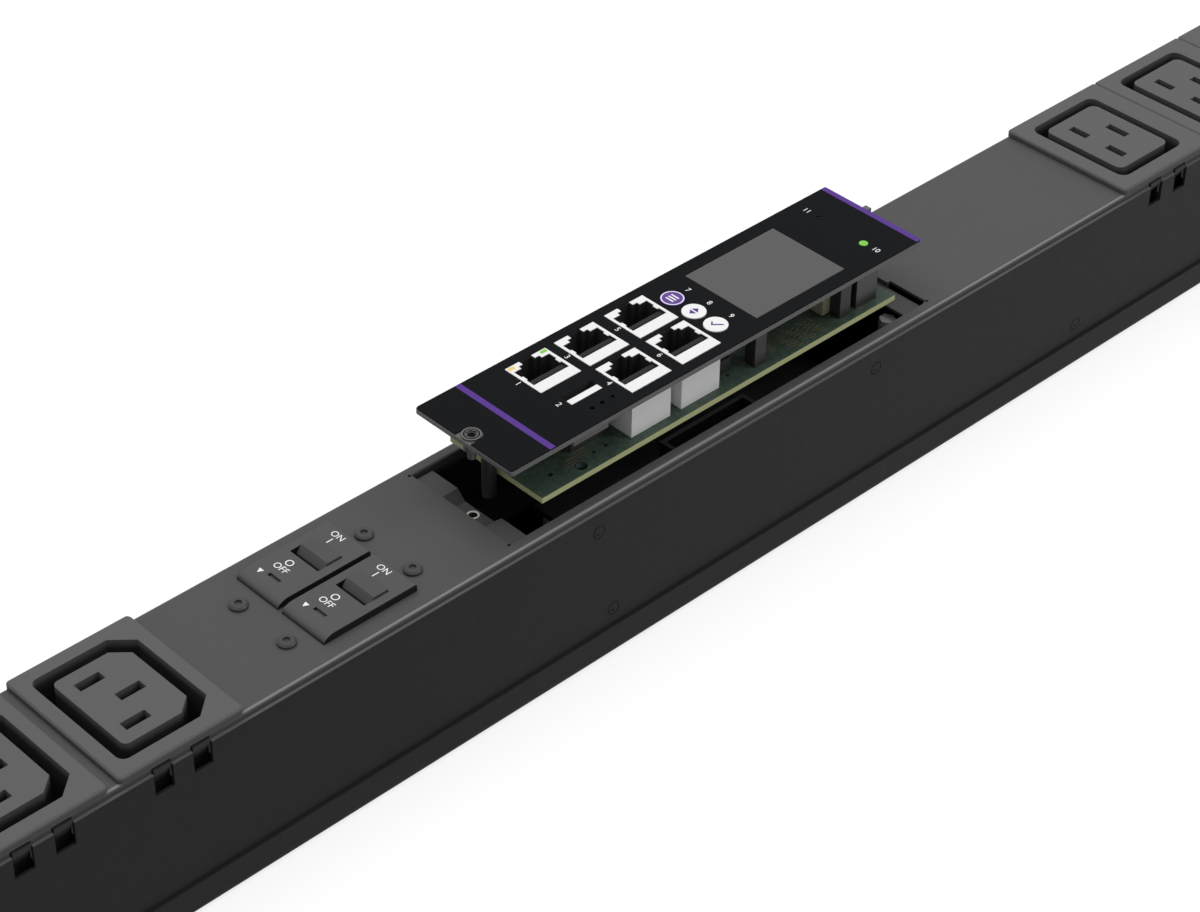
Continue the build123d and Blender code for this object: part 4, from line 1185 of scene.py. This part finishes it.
@dataclass
class CircuitBoard:
    """The module's board with its pads, tracks and components."""

    edge_skin: float = 0.06
    track_radius: float = 0.075
    wave_count: int = 6
    wave_pitch: float = 1.15
    wave_high: float = 0.5
    short_count: int = 3
    via_radius: float = 0.42
    via_places: tuple[float, ...] = (20.85, 24.75, 66.0, 103.5)
    hole_place: Flat = (15.0, -13.4)
    hole_radius: float = 1.3
    coil_place: Flat = (-9.5, -9.2)
    coil_radius: float = 3.2
    coil_high: float = 0.8
    relay_place: Flat = (14.2, -8.1)
    relay_size: tuple[float, float, float] = (6.6, 4.2, 5.5)

    def bare_edge(self) -> None:
        """Add the pale sawn edge that frames the board."""
        box = Space.of("module_board")
        x = (box.low.x, box.high.x)
        y = (box.low.y, box.high.y)
        edge = Piece("board_sawn_edge")
        outer = oblong(x, y, self.edge_skin)
        edge.tube(outer, oblong(x, y, -self.edge_skin), box.low.z + 0.05, box.high.z - 0.05)
        edge.make(BOARD_EDGE)

    def draw_tracks(self) -> None:
        """Lay the spiral coil, the wavy tracks beside it and the short tracks near the ends."""
        box = Space.of("module_board")
        window = Space.of("display_window")
        top = box.high.z
        coil = (window.middle.x + self.coil_place[0], window.middle.y + self.coil_place[1])
        level = top + self.coil_high + 0.04
        lacquer = Piece("board_coil_lacquer")
        lacquer.disc(coil, top, level, self.coil_radius + 0.05, 0.05)
        lacquer.make(BOARD)
        tracks = Piece("board_tracks")
        turns = 4
        steps = 24
        points = []
        for i in range(turns * steps + 1):
            angle = 2 * math.pi * i / steps
            radius = 0.5 + (self.coil_radius - 0.7) * i / (turns * steps)
            points.append((coil[0] + radius * math.cos(angle), coil[1] + radius * math.sin(angle), level))
        tracks.wire(points, self.track_radius)
        for lane in range(self.wave_count):
            y = box.low.y + 2.0 + self.wave_pitch * lane
            run = []
            for i in range(30):
                x = coil[0] + 4.4 + i * 0.45
                run.append((x, y + self.wave_high * math.sin(0.6 * i + 0.5 * lane), top))
            tracks.wire(run, self.track_radius)
        for lane in range(self.short_count):
            y = box.low.y + 4.4 + lane
            x = box.low.x + 11.5 + 0.5 * lane
            run = [(x, y, top), (x + 3.5, y, top), (x + 4.7, y + 1.2, top), (x + 8.0, y + 1.2, top)]
            tracks.wire(run, self.track_radius)
        x = box.high.x - 13.0
        tracks.wire([(x, box.low.y + 3.6, top), (x + 3.0, box.low.y + 1.6, top)], self.track_radius)
        tracks.make(MASKED_COPPER)

    def set_pads(self) -> None:
        """Set the seam round the mounting hole, the drilled vias and the solder joints."""
        box = Space.of("module_board")
        top = box.high.z
        low = box.low.z
        pads = Piece("board_pads")
        for node in JACKS:
            jack = Space.of(node)
            for i in range(8):
                x = jack.middle.x - 4.45 + 1.27 * i
                y = jack.middle.y + (1.27 if i % 2 else -1.27)
                pads.disc((x, y), low - 0.5, low, 0.5, 0.1, 12)
        pads.make(SOLDER)
        vias = Piece("board_vias")
        hole = (box.low.x + self.hole_place[0], self.hole_place[1])
        vias.ring(hole, top, top + 0.02, self.hole_radius + 0.2, self.hole_radius + 0.02)
        for from_end in self.via_places:
            place = (box.low.x + from_end, box.low.y + 4.6)
            vias.ring(place, top, top + 0.02, self.via_radius, 0.08, 20)
        vias.make(SEAM)

    def cover_relay(self) -> None:
        """Slip the cream cover over the relay that stands beside the display."""
        board = Space.of("module_board")
        window = Space.of("display_window")
        x = window.middle.x + self.relay_place[0]
        y = window.middle.y + self.relay_place[1]
        half_x = self.relay_size[0] / 2 + 0.05
        half_y = self.relay_size[1] / 2 + 0.05
        cover = Piece("board_relay_cover")
        top = board.high.z + self.relay_size[2] + 0.05
        cover.block((x - half_x, x + half_x), (y - half_y, y + half_y), (board.high.z + 0.3, top), 0.4)
        cover.make(CERAMIC)


@dataclass
class Studio:
    """Camera, lamps, floor and surroundings."""

    eye: tuple[float, float, float] = (-367.4, -422.5, 497.4)
    target: tuple[float, float, float] = (34.75, -7.59, 48.5)
    roll: float = 0.826
    lens: float = 91.49
    sensor: float = 36.0
    floor_span: float = 6000.0
    floor_glow: float = 0.76
    sky_share: float = 0.3
    key_strength: float = 1.95
    rim_strength: float = 0.6

    def add_camera(self) -> None:
        """Stand the camera where the picture was taken from."""
        data = bpy.data.cameras.new("camera")
        data.lens = self.lens
        data.sensor_width = self.sensor
        data.clip_start = 0.01
        data.clip_end = 20.0
        camera = bpy.data.objects.new("camera", data)
        bpy.context.scene.collection.objects.link(camera)
        ahead = Vector(self.target) - Vector(self.eye)
        level = ahead.to_track_quat("-Z", "Y").to_matrix().to_4x4()
        turn = Matrix.Rotation(math.radians(self.roll), 4, "Z")
        camera.matrix_world = Matrix.Translation(Vector(self.eye) * MM) @ level @ turn
        bpy.context.scene.camera = camera

    def add_lamp(self, name: str, strength: float, spread: float, towards: Sequence[float]) -> None:
        """Hang a far soft lamp.

        Args:
            name: Name of the lamp.
            strength: Light on a facing surface; 3.14 shows white as white.
            spread: Width of the lamp as seen from the object, in degrees.
            towards: Direction from the object to the lamp.
        """
        data = bpy.data.lights.new(name, "SUN")
        data.energy = strength
        data.angle = math.radians(spread)
        lamp = bpy.data.objects.new(name, data)
        bpy.context.scene.collection.objects.link(lamp)
        lamp.rotation_euler = Vector(towards).to_track_quat("Z", "Y").to_euler()

    def add_sky(self) -> None:
        """Surround the object with white that lights it softly."""
        world = bpy.data.worlds.new("studio")
        bpy.context.scene.world = world
        world.use_nodes = True
        tree = world.node_tree
        tree.nodes.clear()
        seen = self.seen_directly(tree)
        strength = ramp(tree, seen, (0.0, 1.0), (self.sky_share, 1.0))
        light = add_node(tree, "ShaderNodeBackground", {"Color": linear("#ffffff")}, {"Strength": strength})
        add_node(tree, "ShaderNodeOutputWorld", links={"Surface": light.outputs[0]})

    @staticmethod
    def seen_directly(tree: Tree) -> Socket:
        """Return 1 for rays that come from the camera, a mirror or clear plastic."""
        path = add_node(tree, "ShaderNodeLightPath")
        total = path.outputs["Is Camera Ray"]
        for name in ("Is Glossy Ray", "Is Transmission Ray"):
            total = maths(tree, "MAXIMUM", total, path.outputs[name])
        return total

    def add_floor(self) -> None:
        """Lay a pale floor that keeps the object's shadow."""
        finish = bpy.data.materials.new("pale_floor")
        finish.use_nodes = True
        tree = finish.node_tree
        tree.nodes.clear()
        matt = add_node(tree, "ShaderNodeBsdfDiffuse", {"Color": linear("#959595")})
        glow = maths(tree, "MULTIPLY", self.seen_directly(tree), self.floor_glow)
        white = add_node(tree, "ShaderNodeEmission", {"Color": linear("#ffffff")}, {"Strength": glow})
        both = add_node(tree, "ShaderNodeAddShader", links={0: matt.outputs[0], 1: white.outputs[0]})
        add_node(tree, "ShaderNodeOutputMaterial", links={"Surface": both.outputs[0]})
        half = self.floor_span / 2 * MM
        mesh = bpy.data.meshes.new("floor")
        corners = [(x, y, 0.0) for x, y in oblong((-half, half), (-half, half))]
        mesh.from_pydata(corners, [], [(0, 1, 2, 3)])
        mesh.materials.append(finish)
        floor = bpy.data.objects.new("floor", mesh)
        bpy.context.scene.collection.objects.link(floor)

    def build(self) -> None:
        """Set up the whole studio."""
        bpy.context.scene.view_settings.view_transform = "Standard"
        self.add_camera()
        self.add_lamp("overhead", self.key_strength, 70.0, (-0.1, 0.1, 1.0))
        self.add_lamp("edge", self.rim_strength, 14.0, (0.55, -0.61, 0.57))
        self.add_sky()
        self.add_floor()


def main() -> None:
    """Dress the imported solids, add the details and set up the studio."""
    logging.basicConfig(level=logging.INFO, format="%(message)s")
    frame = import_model()
    for finish, nodes in WORN_BY.items():
        dress(frame, nodes, finish)
    casework = Casework()
    casework.dress(frame)
    casework.mark_side_screws(frame)
    casework.mark_bay()
    breakers = BreakerPair()
    breakers.dress(frame)
    breakers.print_signs()
    module = ControllerModule()
    module.print_overlay()
    module.mark_keys()
    module.fit_jacks()
    module.fit_host_port()
    module.detail_captive_screw()
    module.hang_pin_switches()
    board = CircuitBoard()
    board.bare_edge()
    board.draw_tracks()
    board.set_pads()
    board.cover_relay()
    Studio().build()


if __name__ == "__main__":
    main()
